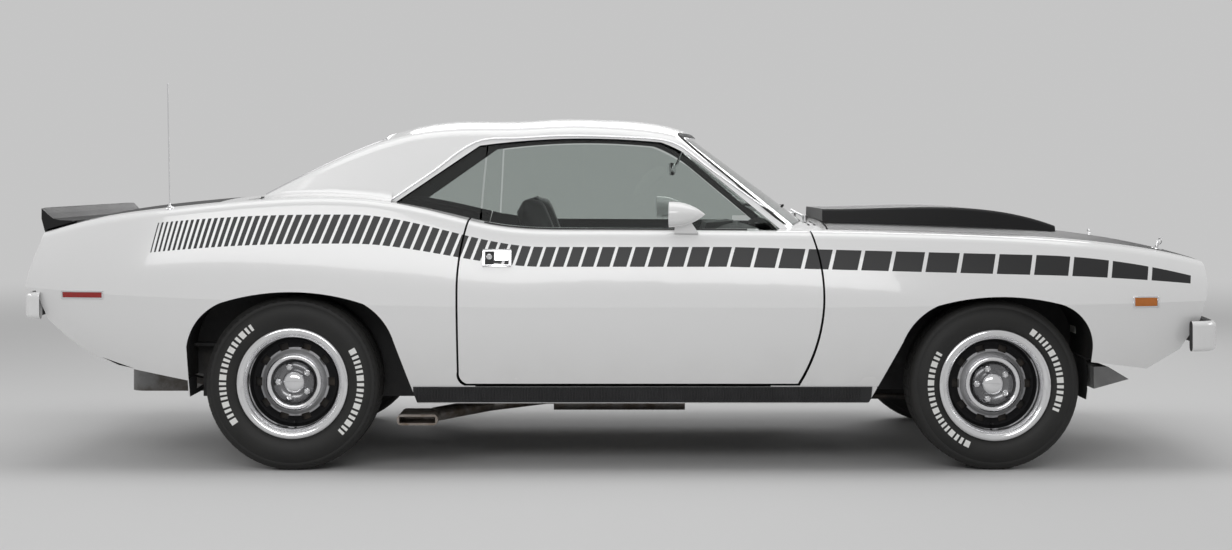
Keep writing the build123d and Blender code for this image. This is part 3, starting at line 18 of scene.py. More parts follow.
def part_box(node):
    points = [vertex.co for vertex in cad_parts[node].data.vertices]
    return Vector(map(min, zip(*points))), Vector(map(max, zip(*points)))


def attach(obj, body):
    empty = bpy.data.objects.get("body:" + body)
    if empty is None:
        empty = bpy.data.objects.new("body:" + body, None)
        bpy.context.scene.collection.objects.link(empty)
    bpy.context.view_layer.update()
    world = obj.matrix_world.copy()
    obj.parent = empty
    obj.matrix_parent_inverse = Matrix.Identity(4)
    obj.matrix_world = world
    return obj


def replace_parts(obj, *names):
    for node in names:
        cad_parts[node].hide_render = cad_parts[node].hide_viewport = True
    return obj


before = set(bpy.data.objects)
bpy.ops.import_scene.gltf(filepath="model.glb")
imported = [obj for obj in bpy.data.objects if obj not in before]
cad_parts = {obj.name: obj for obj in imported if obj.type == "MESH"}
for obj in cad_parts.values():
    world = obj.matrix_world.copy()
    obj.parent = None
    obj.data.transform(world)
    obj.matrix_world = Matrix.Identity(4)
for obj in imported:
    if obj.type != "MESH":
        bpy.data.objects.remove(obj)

logging.basicConfig(level=logging.INFO, format="%(message)s")
log = logging.getLogger("car")

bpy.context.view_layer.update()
Colour = tuple[float, float, float]
Point = Sequence[float]

WHITE: Colour = (0.80, 0.80, 0.80)
BLACK: Colour = (0.010, 0.010, 0.011)
LID: Colour = (0.005, 0.005, 0.0055)
SOOT: Colour = (0.022, 0.022, 0.023)
VINYL_BLACK: Colour = (0.017, 0.017, 0.018)

AHEAD, ASTERN = (1.0, 0.0, 0.0), (-1.0, 0.0, 0.0)
DOWN = (0.0, 0.0, -1.0)
ABOVE = 1.8    # clear of the roof


class Side(Enum):
    """A side of the car. The value is the sign of its Y."""

    LEFT = 1
    RIGHT = -1

    @property
    def word(self) -> str:
        """The side's name as it stands in node names."""
        return self.name.lower()


class End(Enum):
    """An end of the car, by its axle."""

    FRONT = "front"
    REAR = "rear"


# ------------------------------------------------------------------ shader maths
class Signal:
    """A shader socket that takes part in Python arithmetic by adding Math nodes."""

    def __init__(self, shade: "Shade", socket: bpy.types.NodeSocket) -> None:
        """Wraps one output socket.

        Args:
            shade: the material that the socket belongs to.
            socket: the output socket.
        """
        self.shade = shade
        self.socket = socket

    def math(self, operation: str, *others: "Signal | float") -> "Signal":
        """Adds one Math node.

        Args:
            operation: the Math node's operation.
            others: the node's other operands.

        Returns:
            The node's result.
        """
        return self.shade.add("ShaderNodeMath", {"operation": operation},
                              {0: self, **dict(enumerate(others, 1))})[0]

    def _swapped(self, operation: str, other: float) -> "Signal":
        """A Math node with this signal as its second operand."""
        return self.shade.add("ShaderNodeMath", {"operation": operation}, {0: other, 1: self})[0]

    def __add__(self, other: "Signal | float") -> "Signal":
        """Sum."""
        return self.math("ADD", other)

    __radd__ = __add__

    def __sub__(self, other: "Signal | float") -> "Signal":
        """Difference."""
        return self.math("SUBTRACT", other)

    def __rsub__(self, other: float) -> "Signal":
        """Difference from a number."""
        return self._swapped("SUBTRACT", other)

    def __mul__(self, other: "Signal | float") -> "Signal":
        """Product."""
        return self.math("MULTIPLY", other)

    __rmul__ = __mul__

    def __truediv__(self, other: "Signal | float") -> "Signal":
        """Quotient."""
        return self.math("DIVIDE", other)

    def __pow__(self, other: "Signal | float") -> "Signal":
        """Power."""
        return self.math("POWER", other)

    def __gt__(self, other: "Signal | float") -> "Signal":
        """1 where this is the greater, else 0."""
        return self.math("GREATER_THAN", other)

    def __lt__(self, other: "Signal | float") -> "Signal":
        """1 where this is the smaller, else 0."""
        return self.math("LESS_THAN", other)

    def clamp(self) -> "Signal":
        """This signal kept between 0 and 1."""
        return self.math("MAXIMUM", 0.0).math("MINIMUM", 1.0)

    def step(self, low: float, high: float) -> "Signal":
        """A smooth rise from 0 at low to 1 at high.

        Args:
            low: where the rise starts.
            high: where it ends.

        Returns:
            The smoothed signal.
        """
        settings = {"interpolation_type": "SMOOTHSTEP", "clamp": True}
        return self.shade.add("ShaderNodeMapRange", settings,
                              {"Value": self, "From Min": low, "From Max": high})[0]


class Node:
    """A shader node whose outputs are read as signals."""

    def __init__(self, shade: "Shade", node: bpy.types.Node) -> None:
        """Keeps the node and the material it is in."""
        self.shade = shade
        self.node = node

    def __getitem__(self, key: int | str) -> Signal:
        """An output socket by its place or name."""
        return Signal(self.shade, self.node.outputs[key])


class Shade:
    """A material under construction: one Principled shader and what feeds it."""

    def __init__(self, name: str, **values: Any) -> None:
        """Starts a material.

        Args:
            name: the material's name.
            values: constants for the shader's sockets, with underscores for spaces.
        """
        self.material = bpy.data.materials.new(name)
        self.material.use_nodes = True
        self.tree = self.material.node_tree
        self.tree.nodes.clear()
        self.surface = self.tree.nodes.new("ShaderNodeBsdfPrincipled")
        output = self.tree.nodes.new("ShaderNodeOutputMaterial")
        self.tree.links.new(self.surface.outputs["BSDF"], output.inputs["Surface"])
        for key, value in values.items():
            self.put(self.surface, key.replace("_", " "), value)

    def put(self, node: bpy.types.Node, key: int | str, value: Any) -> None:
        """Sets or links one input socket.

        Args:
            node: the node.
            key: the socket's place or name.
            value: a number, colour, vector or signal.
        """
        socket = node.inputs[key]
        if isinstance(value, Signal):
            self.tree.links.new(value.socket, socket)
        elif isinstance(value, (tuple, list)) and len(value) == 3 and socket.type == "RGBA":
            socket.default_value = (*value, 1.0)
        else:
            socket.default_value = value

    def add(self, kind: str, settings: dict[str, Any] | None = None,
            inputs: dict[int | str, Any] | None = None) -> Node:
        """Adds a node.

        Args:
            kind: the node's type.
            settings: its properties, set first.
            inputs: values or signals for its sockets.

        Returns:
            The node, ready to be indexed by output.
        """
        node = self.tree.nodes.new(kind)
        for key, value in (settings or {}).items():
            setattr(node, key, value)
        for key, value in (inputs or {}).items():
            self.put(node, key, value)
        return Node(self, node)

    def place(self, centre: Point = (0.0, 0.0, 0.0)) -> Signal:
        """Object coordinates measured from a centre."""
        coords = self.add("ShaderNodeTexCoord")["Object"]
        if not any(centre):
            return coords
        return self.add("ShaderNodeVectorMath", {"operation": "SUBTRACT"}, {0: coords, 1: tuple(centre)})[0]

    def axes(self, vector: Signal) -> tuple[Signal, Signal, Signal]:
        """A vector's three parts."""
        parts = self.add("ShaderNodeSeparateXYZ", None, {0: vector})
        return parts[0], parts[1], parts[2]

    def facing(self) -> tuple[Signal, Signal, Signal]:
        """The surface's direction in the car's own frame, by part."""
        return self.axes(self.add("ShaderNodeTexCoord")["Normal"])

    def noise(self, scale: float, detail: float = 3.0, roughness: float = 0.5,
              where: Signal | None = None) -> Signal:
        """Smooth noise between 0 and 1.

        Args:
            scale: waves a metre.
            detail: octaves.
            roughness: weight of the finer octaves.
            where: the coordinates, or the Object coordinates.

        Returns:
            The noise.
        """
        inputs = {"Vector": where or self.place(), "Scale": scale, "Detail": detail, "Roughness": roughness}
        return self.add("ShaderNodeTexNoise", None, inputs)[0]

    def mix(self, mask: Signal | float, low: Colour | Signal, high: Colour | Signal) -> Signal:
        """A colour between low, where the mask is 0, and high, where it is 1."""
        node = self.add("ShaderNodeMix", {"data_type": "RGBA"}, {0: mask, 6: low, 7: high})
        return node[2]

    def blend(self, mask: Signal, low: float | Signal, high: float | Signal) -> Signal:
        """A number between low, where the mask is 0, and high, where it is 1."""
        return self.add("ShaderNodeMix", {"data_type": "FLOAT"}, {0: mask, 2: low, 3: high})[0]

    def bump(self, height: Signal, distance: float, strength: float = 1.0) -> None:
        """Feeds the shader's Normal from a height in metres times distance.

        Args:
            height: the height signal, about 0 to 1.
            distance: how far 1 stands up, in metres.
            strength: share of the bump that shows.
        """
        node = self.add("ShaderNodeBump", None,
                        {"Height": height, "Distance": distance, "Strength": strength})
        self.put(self.surface, "Normal", node[0])

    def set(self, **values: Any) -> None:
        """Sets or links the shader's own sockets, named with underscores for spaces."""
        for key, value in values.items():
            self.put(self.surface, key.replace("_", " "), value)


# ------------------------------------------------------------------ finishes
@dataclass(frozen=True)
class StripeLayout:
    """The row of slanted bars along each side, closely set at the tail and opening out towards the nose."""

    runs: tuple[tuple[float, float], ...] = ((-1.847, 0.0167), (-1.150, 0.0393), (-0.548, 0.0382),
                                             (0.780, 0.1085), (1.236, 0.1368), (2.181, 0.1655))
    first: float = 0.247
    tail_x: float = -1.839
    nose_x: float = 2.206
    least_gap: float = 0.0093
    gap_growth: float = 0.042
    lean_tail: float = 0.22
    lean_most: float = 0.40
    lean_nose: float = 0.16
    lean_most_x: float = -1.242
    top: float = 0.873
    bottom: float = 0.7965
    hump_top: float = 0.126
    hump_bottom: float = 0.090
    hump_front_x: float = -0.320
    hump_rear_x: float = -1.083
    tail_fall_x: float = -1.183
    tail_fall: float = 0.078
    droop: float = 0.0265
    droop_x: float = 0.40
    nose_taper_x: float = 1.60
    nose_taper_top: float = 0.065
    nose_taper_bottom: float = 0.020
    outboard: float = 0.70

    def mask(self, shade: Shade) -> Signal:
        """1 on a bar and 0 between bars and outside the row.

        Args:
            shade: the material that the bars are painted in.

        Returns:
            The mask.
        """
        x, y, z = shade.axes(shade.place())
        hump = 1.0 - x.step(self.hump_rear_x, self.hump_front_x)
        tail = (self.tail_fall_x - x).math("MAXIMUM", 0.0)
        drop = (x - self.droop_x).math("MAXIMUM", 0.0) * self.droop + tail * tail * self.tail_fall
        taper = ((x - self.nose_taper_x) / (self.nose_x - self.nose_taper_x)).math("MAXIMUM", 0.0)
        taper = taper * taper
        top = hump * self.hump_top + self.top - drop - taper * self.nose_taper_top
        bottom = hump * self.hump_bottom + self.bottom - drop - taper * self.nose_taper_bottom
        rising = (x - self.tail_x) * ((self.lean_most - self.lean_tail) / (self.lean_most_x - self.tail_x))
        fall = (self.lean_nose - self.lean_most) / (self.nose_x - self.lean_most_x)
        falling = (x - self.lean_most_x) * fall
        lean = (rising + self.lean_tail).math("MINIMUM", falling + self.lean_most)
        along = x - lean * (z - (top + bottom) * 0.5)
        phase, pitch = self.first, self.runs[0][1]
        for (start, near), (stop, far) in zip(self.runs, self.runs[1:]):
            slope = (far - near) / (stop - start)
            run = (along - start).math("MAXIMUM", 0.0).math("MINIMUM", stop - start)
            phase = (run * (slope / near) + 1.0).math("LOGARITHM", math.e) * (1.0 / slope) + phase
            pitch = run * slope + pitch
        bar = phase.math("FRACT") > (pitch * self.gap_growth + self.least_gap) / pitch
        inside = (z < top) * (z > bottom) * (along > self.tail_x) * (along < self.nose_x)
        return bar * inside * (y.math("ABSOLUTE") > self.outboard)


@dataclass(frozen=True)
class BodyPaint:
    """Gloss white paint with its bars on the sides, dull inner faces and a little dust low down."""

    name: str = "body_paint"
    striped: bool = True
    lining: Colour = SOOT
    lining_roughness: float = 0.72
    slot: ClassVar[str] = "body_white"

    def build(self) -> bpy.types.Material:
        """Makes the material."""
        shade = Shade(self.name, Roughness=0.16, IOR=1.5, Coat_Weight=0.6, Coat_Roughness=0.03)
        x, y, z = shade.axes(shade.place())
        nx, ny, nz = shade.facing()
        inward = ny * y + nz * (z - 0.72) + (nx * (x + 0.1)) * 0.12
        inside = (inward < -0.045).clamp()
        dust = shade.noise(5.0, 5.0, 0.6) * (1.0 - z.step(0.26, 0.62))
        paint = shade.mix(dust * 0.35, WHITE, (0.50, 0.49, 0.47))
        if self.striped:
            bars = StripeLayout().mask(shade) * (1.0 - inside)
            paint = shade.mix(bars, paint, BLACK)
        colour = shade.mix(inside, paint, self.lining)
        peel = shade.noise(420.0, 1.5)
        grain = shade.noise(900.0, 2.0)
        rough = shade.blend(inside, dust * 0.25 + shade.noise(3.0) * 0.05 + 0.12, self.lining_roughness)
        dull = inside
        if self.striped:
            rough = shade.blend(bars, rough, 0.42)
            dull = (inside + bars).clamp()
        shade.set(Base_Color=colour, Roughness=rough, Coat_Weight=shade.blend(dull, 0.6, 0.0))
        shade.bump(peel * 0.25 + grain * inside, 0.00018)
        return shade.material


@dataclass(frozen=True)
class LidPaint:
    """Satin black paint of the hood, deck lid and spoiler, with a fine grain and faint haze."""

    name: str = "lid_paint"
    slot: ClassVar[str] = "satin_black"

    def build(self) -> bpy.types.Material:
        """Makes the material."""
        shade = Shade(self.name, Base_Color=LID, IOR=1.45, Specular_IOR_Level=0.30)
        haze = shade.noise(2.2, 4.0)
        grain = shade.noise(1400.0, 2.0)
        shade.set(Base_Color=shade.mix(haze * 0.5, LID, BLACK), Roughness=haze * 0.10 + 0.40)
        shade.bump(grain, 0.00006)
        return shade.material


@dataclass(frozen=True)
class Chrome:
    """Bright plating with faint wiping marks."""

    name: str = "chrome"
    colour: Colour = (0.80, 0.80, 0.81)
    roughness: float = 0.07
    haze: float = 0.10
    slot: ClassVar[str] = "bright_steel"

    def build(self) -> bpy.types.Material:
        """Makes the material."""
        shade = Shade(self.name, Base_Color=self.colour, Metallic=1.0)
        marks = shade.noise(38.0, 4.0, 0.6)
        shade.set(Roughness=marks * self.haze + self.roughness)
        shade.bump(shade.noise(60.0, 2.0), 0.00005)
        return shade.material


@dataclass(frozen=True)
class DullMetal:
    """A rough metal surface, such as castings, pipes and springs, stained towards a second colour."""

    name: str
    colour: Colour
    stain: Colour
    roughness: float = 0.5
    metallic: float = 0.6
    scale: float = 14.0
    relief: float = 0.0004
    slot: ClassVar[str] = "chassis_black"

    def build(self) -> bpy.types.Material:
        """Makes the material."""
        shade = Shade(self.name, Metallic=self.metallic)
        cloud = shade.noise(self.scale, 6.0, 0.65)
        grain = shade.noise(self.scale * 22.0, 3.0)
        shade.set(Base_Color=shade.mix(cloud.step(0.35, 0.7), self.colour, self.stain))
        shade.set(Roughness=grain * 0.2 + cloud * 0.2 + self.roughness - 0.2)
        shade.bump(grain * 0.6 + cloud * 0.4, self.relief)
        return shade.material


@dataclass(frozen=True)
class WheelSilver:
    """Silver wheel paint with a bright trim ring, a darker valley and a machined annulus, by radius."""

    name: str
    centre: tuple[float, float, float]
    ring: tuple[float, float] = (0.1765, 0.1785)
    annulus_inner: tuple[float, float] = (0.082, 0.086)
    annulus_outer: tuple[float, float] = (0.109, 0.113)
    annulus_face: tuple[float, float] = (0.052, 0.058)
    valley_inner: tuple[float, float] = (0.1335, 0.1365)
    valley_outer: tuple[float, float] = (0.1755, 0.1775)
    back: tuple[float, float] = (-0.012, 0.002)

    def build(self) -> bpy.types.Material:
        """Makes the material."""
        shade = Shade(self.name, Metallic=0.85, Roughness=0.3)
        x, y, z = shade.axes(shade.place(self.centre))
        radius = (x * x + z * z).math("SQRT")
        outboard = y * (1.0 if self.centre[1] > 0 else -1.0)
        ring = radius.step(*self.ring)
        raised = radius.step(*self.annulus_inner) * (1.0 - radius.step(*self.annulus_outer))
        raised = raised * outboard.step(*self.annulus_face)
        bright = (ring + raised).clamp()
        valley = radius.step(*self.valley_inner) * (1.0 - radius.step(*self.valley_outer))
        back = 1.0 - outboard.step(*self.back)
        silver = shade.mix(valley, (0.58, 0.58, 0.59), (0.012, 0.012, 0.013))
        colour = shade.mix(bright, silver, (0.82, 0.82, 0.83))
        colour = shade.mix(back * (1.0 - ring), colour, (0.03, 0.029, 0.028))
        flake = shade.noise(1500.0, 2.0)
        marks = shade.noise(50.0, 4.0, 0.6)
        rough = shade.blend(bright, flake * 0.12 + 0.28 + valley * 0.3, marks * 0.10 + 0.06)
        shade.set(Base_Color=colour, Roughness=rough, Metallic=shade.blend(bright, 0.75, 1.0))
        shade.bump(flake * 0.4 * (1.0 - bright), 0.00005)
        return shade.material


@dataclass(frozen=True)
class TyreRubber:
    """Tyre rubber with fine rings round its sidewall and a dustier tread."""

    name: str
    centre: tuple[float, float, float]
    radius: float
    band_low: float
    band_high: float
    slot: ClassVar[str] = "tyre"

    def build(self) -> bpy.types.Material:
        """Makes the material."""
        shade = Shade(self.name, Roughness=0.6, Specular_IOR_Level=0.35)
        x, _, z = shade.axes(shade.place(self.centre))
        radius = (x * x + z * z).math("SQRT")
        tread = radius.step(self.radius - 0.016, self.radius - 0.004)
        rings = (radius * 900.0).math("SINE") * 0.5 + 0.5
        band = radius.step(self.band_low - 0.010, self.band_low - 0.007)
        band = band * (1.0 - radius.step(self.band_high + 0.007, self.band_high + 0.010))
        dust = shade.noise(9.0, 5.0, 0.6)
        colour = shade.mix(dust * 0.5 + tread * 0.35, (0.011, 0.011, 0.011), (0.040, 0.039, 0.037))
        shade.set(Base_Color=colour, Roughness=dust * 0.15 + tread * 0.15 + 0.48)
        shade.bump(rings * band * 0.6 + shade.noise(700.0, 2.0) * 0.4, 0.0003)
        return shade.material


@dataclass(frozen=True)
class RaisedWhite:
    """White rubber marks on the tyres, a little worn."""

    name: str = "raised_white"
    slot: ClassVar[str] = "tyre"

    def build(self) -> bpy.types.Material:
        """Makes the material."""
        shade = Shade(self.name, Roughness=0.55)
        wear = shade.noise(40.0, 5.0, 0.7)
        shade.set(Base_Color=shade.mix(wear.step(0.55, 0.85), (0.82, 0.82, 0.80), (0.45, 0.44, 0.42)))
        shade.bump(shade.noise(600.0, 2.0), 0.0001)
        return shade.material


@dataclass(frozen=True)
class WindowGlass:
    """Clear or tinted glass."""

    name: str = "window_glass"
    tint: Colour = (0.66, 0.70, 0.68)
    roughness: float = 0.0

    def build(self) -> bpy.types.Material:
        """Makes the material."""
        shade = Shade(self.name, Base_Color=self.tint, IOR=1.45, Transmission_Weight=1.0,
                      Roughness=self.roughness)
        shade.bump(shade.noise(3.0, 1.0), 0.00004)
        return shade.material


@dataclass(frozen=True)
class Lens:
    """A moulded lamp lens with fine upright flutes."""

    name: str
    colour: Colour
    clear: float = 0.35
    flute: float = 900.0
    slot: str = "lamp_glass"

    def build(self) -> bpy.types.Material:
        """Makes the material."""
        shade = Shade(self.name, Roughness=0.08, IOR=1.49, Coat_Weight=0.5, Transmission_Weight=self.clear)
        x, y, z = shade.axes(shade.place())
        ribs = ((x + y) * self.flute).math("SINE") * 0.5 + (z * self.flute).math("SINE") * 0.5
        deep = shade.noise(60.0, 2.0)
        shade.set(Base_Color=shade.mix(deep * 0.4, self.colour, tuple(c * 0.5 for c in self.colour)))
        shade.bump(ribs, 0.0004)
        return shade.material


@dataclass(frozen=True)
class Vinyl:
    """Grained vinyl or moulded plastic."""

    name: str
    colour: Colour = VINYL_BLACK
    sheen: float = 0.05
    scale: float = 420.0
    roughness: float = 0.48
    slot: str = "black_trim"

    def build(self) -> bpy.types.Material:
        """Makes the material."""
        shade = Shade(self.name, Sheen_Weight=self.sheen, Specular_IOR_Level=0.45)
        cells = shade.add("ShaderNodeTexVoronoi", {"feature": "DISTANCE_TO_EDGE"},
                          {"Vector": shade.place(), "Scale": self.scale})[0]
        cloud = shade.noise(11.0, 4.0)
        lighter = tuple(c * 1.9 for c in self.colour)
        shade.set(Base_Color=shade.mix(cloud.step(0.4, 0.8) * 0.5, self.colour, lighter))
        shade.set(Roughness=cloud * 0.14 + self.roughness - 0.06)
        shade.bump(cells.step(0.0, 0.22) + shade.noise(self.scale * 3.0, 2.0) * 0.25, 0.00022)
        return shade.material


@dataclass(frozen=True)
class Underbody:
    """Floor and inner panels: sprayed underseal outside, looped carpet where the cabin floor is."""

    name: str = "underbody"
    cabin_rear_x: float = -0.74
    cabin_front_x: float = 0.655
    bulkhead_x: float = 0.6475
    carpet_z: float = 0.268

    def build(self) -> bpy.types.Material:
        """Makes the material."""
        shade = Shade(self.name, Metallic=0.0)
        x, _, z = shade.axes(shade.place())
        nx, _, nz = shade.facing()
        inside = (x > self.cabin_rear_x) * (z > self.carpet_z)
        floor = inside * (x < self.cabin_front_x) * (nz > 0.1)
        cabin = (floor + inside * (x < self.bulkhead_x) * (nx < -0.5)).clamp()
        pile = shade.noise(650.0, 2.0, 0.7)
        spray = shade.noise(160.0, 4.0, 0.7)
        grime = shade.noise(6.0, 5.0, 0.6)
        steel = shade.mix(grime.step(0.45, 0.8), (0.020, 0.020, 0.021), (0.060, 0.055, 0.050))
        carpet = shade.mix(pile, (0.008, 0.008, 0.009), (0.035, 0.035, 0.037))
        shade.set(Base_Color=shade.mix(cabin, steel, carpet))
        shade.set(Roughness=shade.blend(cabin, grime * 0.3 + 0.45, 0.95))
        shade.bump(shade.blend(cabin, spray, pile), 0.0008)
        return shade.material


@dataclass(frozen=True)
class StudioFloor:
    """The pale floor that the car stands on, which fades into the pale surroundings far out."""

    name: str
    colour: Colour = (0.62, 0.62, 0.62)
    glow: float = 0.56
    fade: tuple[float, float] = (4.0, 15.0)

    def build(self) -> bpy.types.Material:
        """Makes the material."""
        shade = Shade(self.name, Base_Color=self.colour, Roughness=0.75, Specular_IOR_Level=0.2)
        x, y, _ = shade.axes(shade.place())
        near, far = self.fade
        away = (((x * x + y * y) ** 0.5 - near) / (far - near)).clamp()
        light = shade.add("ShaderNodeLightPath")
        seen = (light["Is Camera Ray"] + light["Is Glossy Ray"] + light["Is Transmission Ray"]).clamp()
        glow = shade.add("ShaderNodeEmission", None, {"Color": (1.0, 1.0, 1.0), "Strength": self.glow})
        mix = shade.add("ShaderNodeMixShader", None, {0: away * away * (3.0 - away * 2.0) * seen})
        shade.tree.links.new(shade.surface.outputs[0], mix.node.inputs[1])
        shade.tree.links.new(glow.node.outputs[0], mix.node.inputs[2])
        output = next(n for n in shade.tree.nodes if n.type == "OUTPUT_MATERIAL")
        shade.tree.links.new(mix.node.outputs[0], output.inputs["Surface"])
        return shade.material


class Paintbox:
    """Every finish of the car, each made once."""

    def __init__(self) -> None:
        """Starts with nothing made."""
        self.made: dict[str, bpy.types.Material] = {}

    def get(self, finish: Any) -> bpy.types.Material:
        """The material of a finish, made at its first use."""
        if finish.name not in self.made:
            self.made[finish.name] = finish.build()
        return self.made[finish.name]


PAINT = BodyPaint()
PLAIN_WHITE = BodyPaint("plain_white", striped=False)
POD_WHITE = BodyPaint("pod_white", striped=False, lining=WHITE, lining_roughness=0.2)
LID_BLACK = LidPaint()
BRIGHT = Chrome()
DARK_CHROME = Chrome("dark_chrome", (0.22, 0.22, 0.225), 0.16, 0.12)
BRUSHED = Chrome("brushed_steel", (0.60, 0.60, 0.61), 0.26, 0.16)
GLASS = WindowGlass()
HEADLAMP_GLASS = WindowGlass("lamp_glass", (0.95, 0.96, 0.97))
RED = Lens("red_lens", (0.42, 0.008, 0.006), 0.15, slot="red_lens")
AMBER = Lens("amber_lens", (0.70, 0.20, 0.01), 0.25)
CLEAR_LENS = Lens("clear_lens", (0.78, 0.78, 0.76), 0.1)
CHASSIS = DullMetal("chassis_black", (0.020, 0.020, 0.020), (0.075, 0.060, 0.048), 0.55, 0.3)
CAST = DullMetal("cast_grey", (0.16, 0.155, 0.15), (0.07, 0.06, 0.055), 0.55, 0.7, 24.0)
PIPE = DullMetal("exhaust_steel", (0.34, 0.32, 0.30), (0.16, 0.12, 0.09), 0.42, 0.9, 9.0)
ENGINE = DullMetal("engine_paint", (0.055, 0.055, 0.057), (0.035, 0.033, 0.031), 0.40, 0.1, 6.0)
SEAT_VINYL = Vinyl("seat_vinyl", (0.016, 0.016, 0.017), 0.12, 380.0, 0.42, "seat_vinyl")
TRIM_VINYL = Vinyl("trim_vinyl", (0.014, 0.014, 0.015), 0.03, 520.0, 0.55)
RUBBER = Vinyl("seal_rubber", (0.010, 0.010, 0.010), 0.0, 900.0, 0.62)
MOULDED = Vinyl("moulded_black", (0.016, 0.016, 0.017), 0.0, 700.0, 0.45)
GREY_PLASTIC = Vinyl("grey_plastic", (0.14, 0.14, 0.14), 0.0, 500.0, 0.6)
BOTTLE_WHITE = Vinyl("bottle_white", (0.62, 0.62, 0.58), 0.0, 300.0, 0.4)
WHITE_MARK = RaisedWhite()
BOX = Paintbox()


# ------------------------------------------------------------------ meshes
def axes_matrix(origin: Point, along: Point, up: Point = (0.0, 0.0, 1.0)) -> Matrix:
    """A place whose Z runs along a direction.

    Args:
        origin: where it is.
        along: the direction of its Z.
        up: roughly the direction of its Y.

    Returns:
        The matrix.
    """
    z = Vector(along).normalized()
    x = Vector(up).cross(z)
    x = x.normalized() if x.length > 1e-6 else Vector((1.0, 0.0, 0.0))
    y = z.cross(x)
    return Matrix.Translation(Vector(origin)) @ Matrix((x, y, z)).transposed().to_4x4()


class Skin:
    """The surface of a solid node, for setting pieces on it."""

    def __init__(self, *nodes: str) -> None:
        """Gathers the nodes' faces."""
        points: list[Vector] = []
        faces: list[list[int]] = []
        for name in nodes:
            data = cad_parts[name].data
            start = len(points)
            points += [v.co.copy() for v in data.vertices]
            faces += [[start + i for i in p.vertices] for p in data.polygons]
        self.tree = BVHTree.FromPolygons(points, faces)

    def hit(self, origin: Point, direction: Point, reach: float = 3.0) -> tuple[Vector, Vector] | None:
        """Where a ray first meets the skin.

        Args:
            origin: the ray's start.
            direction: its direction.
            reach: how far it goes.

        Returns:
            The place and the outward direction there, or None.
        """
        where, normal, _, _ = self.tree.ray_cast(Vector(origin), Vector(direction).normalized(), reach)
        if where is None:
            return None
        if normal.dot(Vector(direction)) > 0:
            normal = -normal
        return where, normal

    def under(self, x: float, y: float, start: float = ABOVE) -> tuple[Vector, Vector] | None:
        """Where the skin is first met from above.

        Args:
            x: how far ahead.
            y: how far to the left.
            start: the height that the ray starts from.

        Returns:
            The place and the outward direction there, or None.
        """
        return self.hit((x, y, start), DOWN)


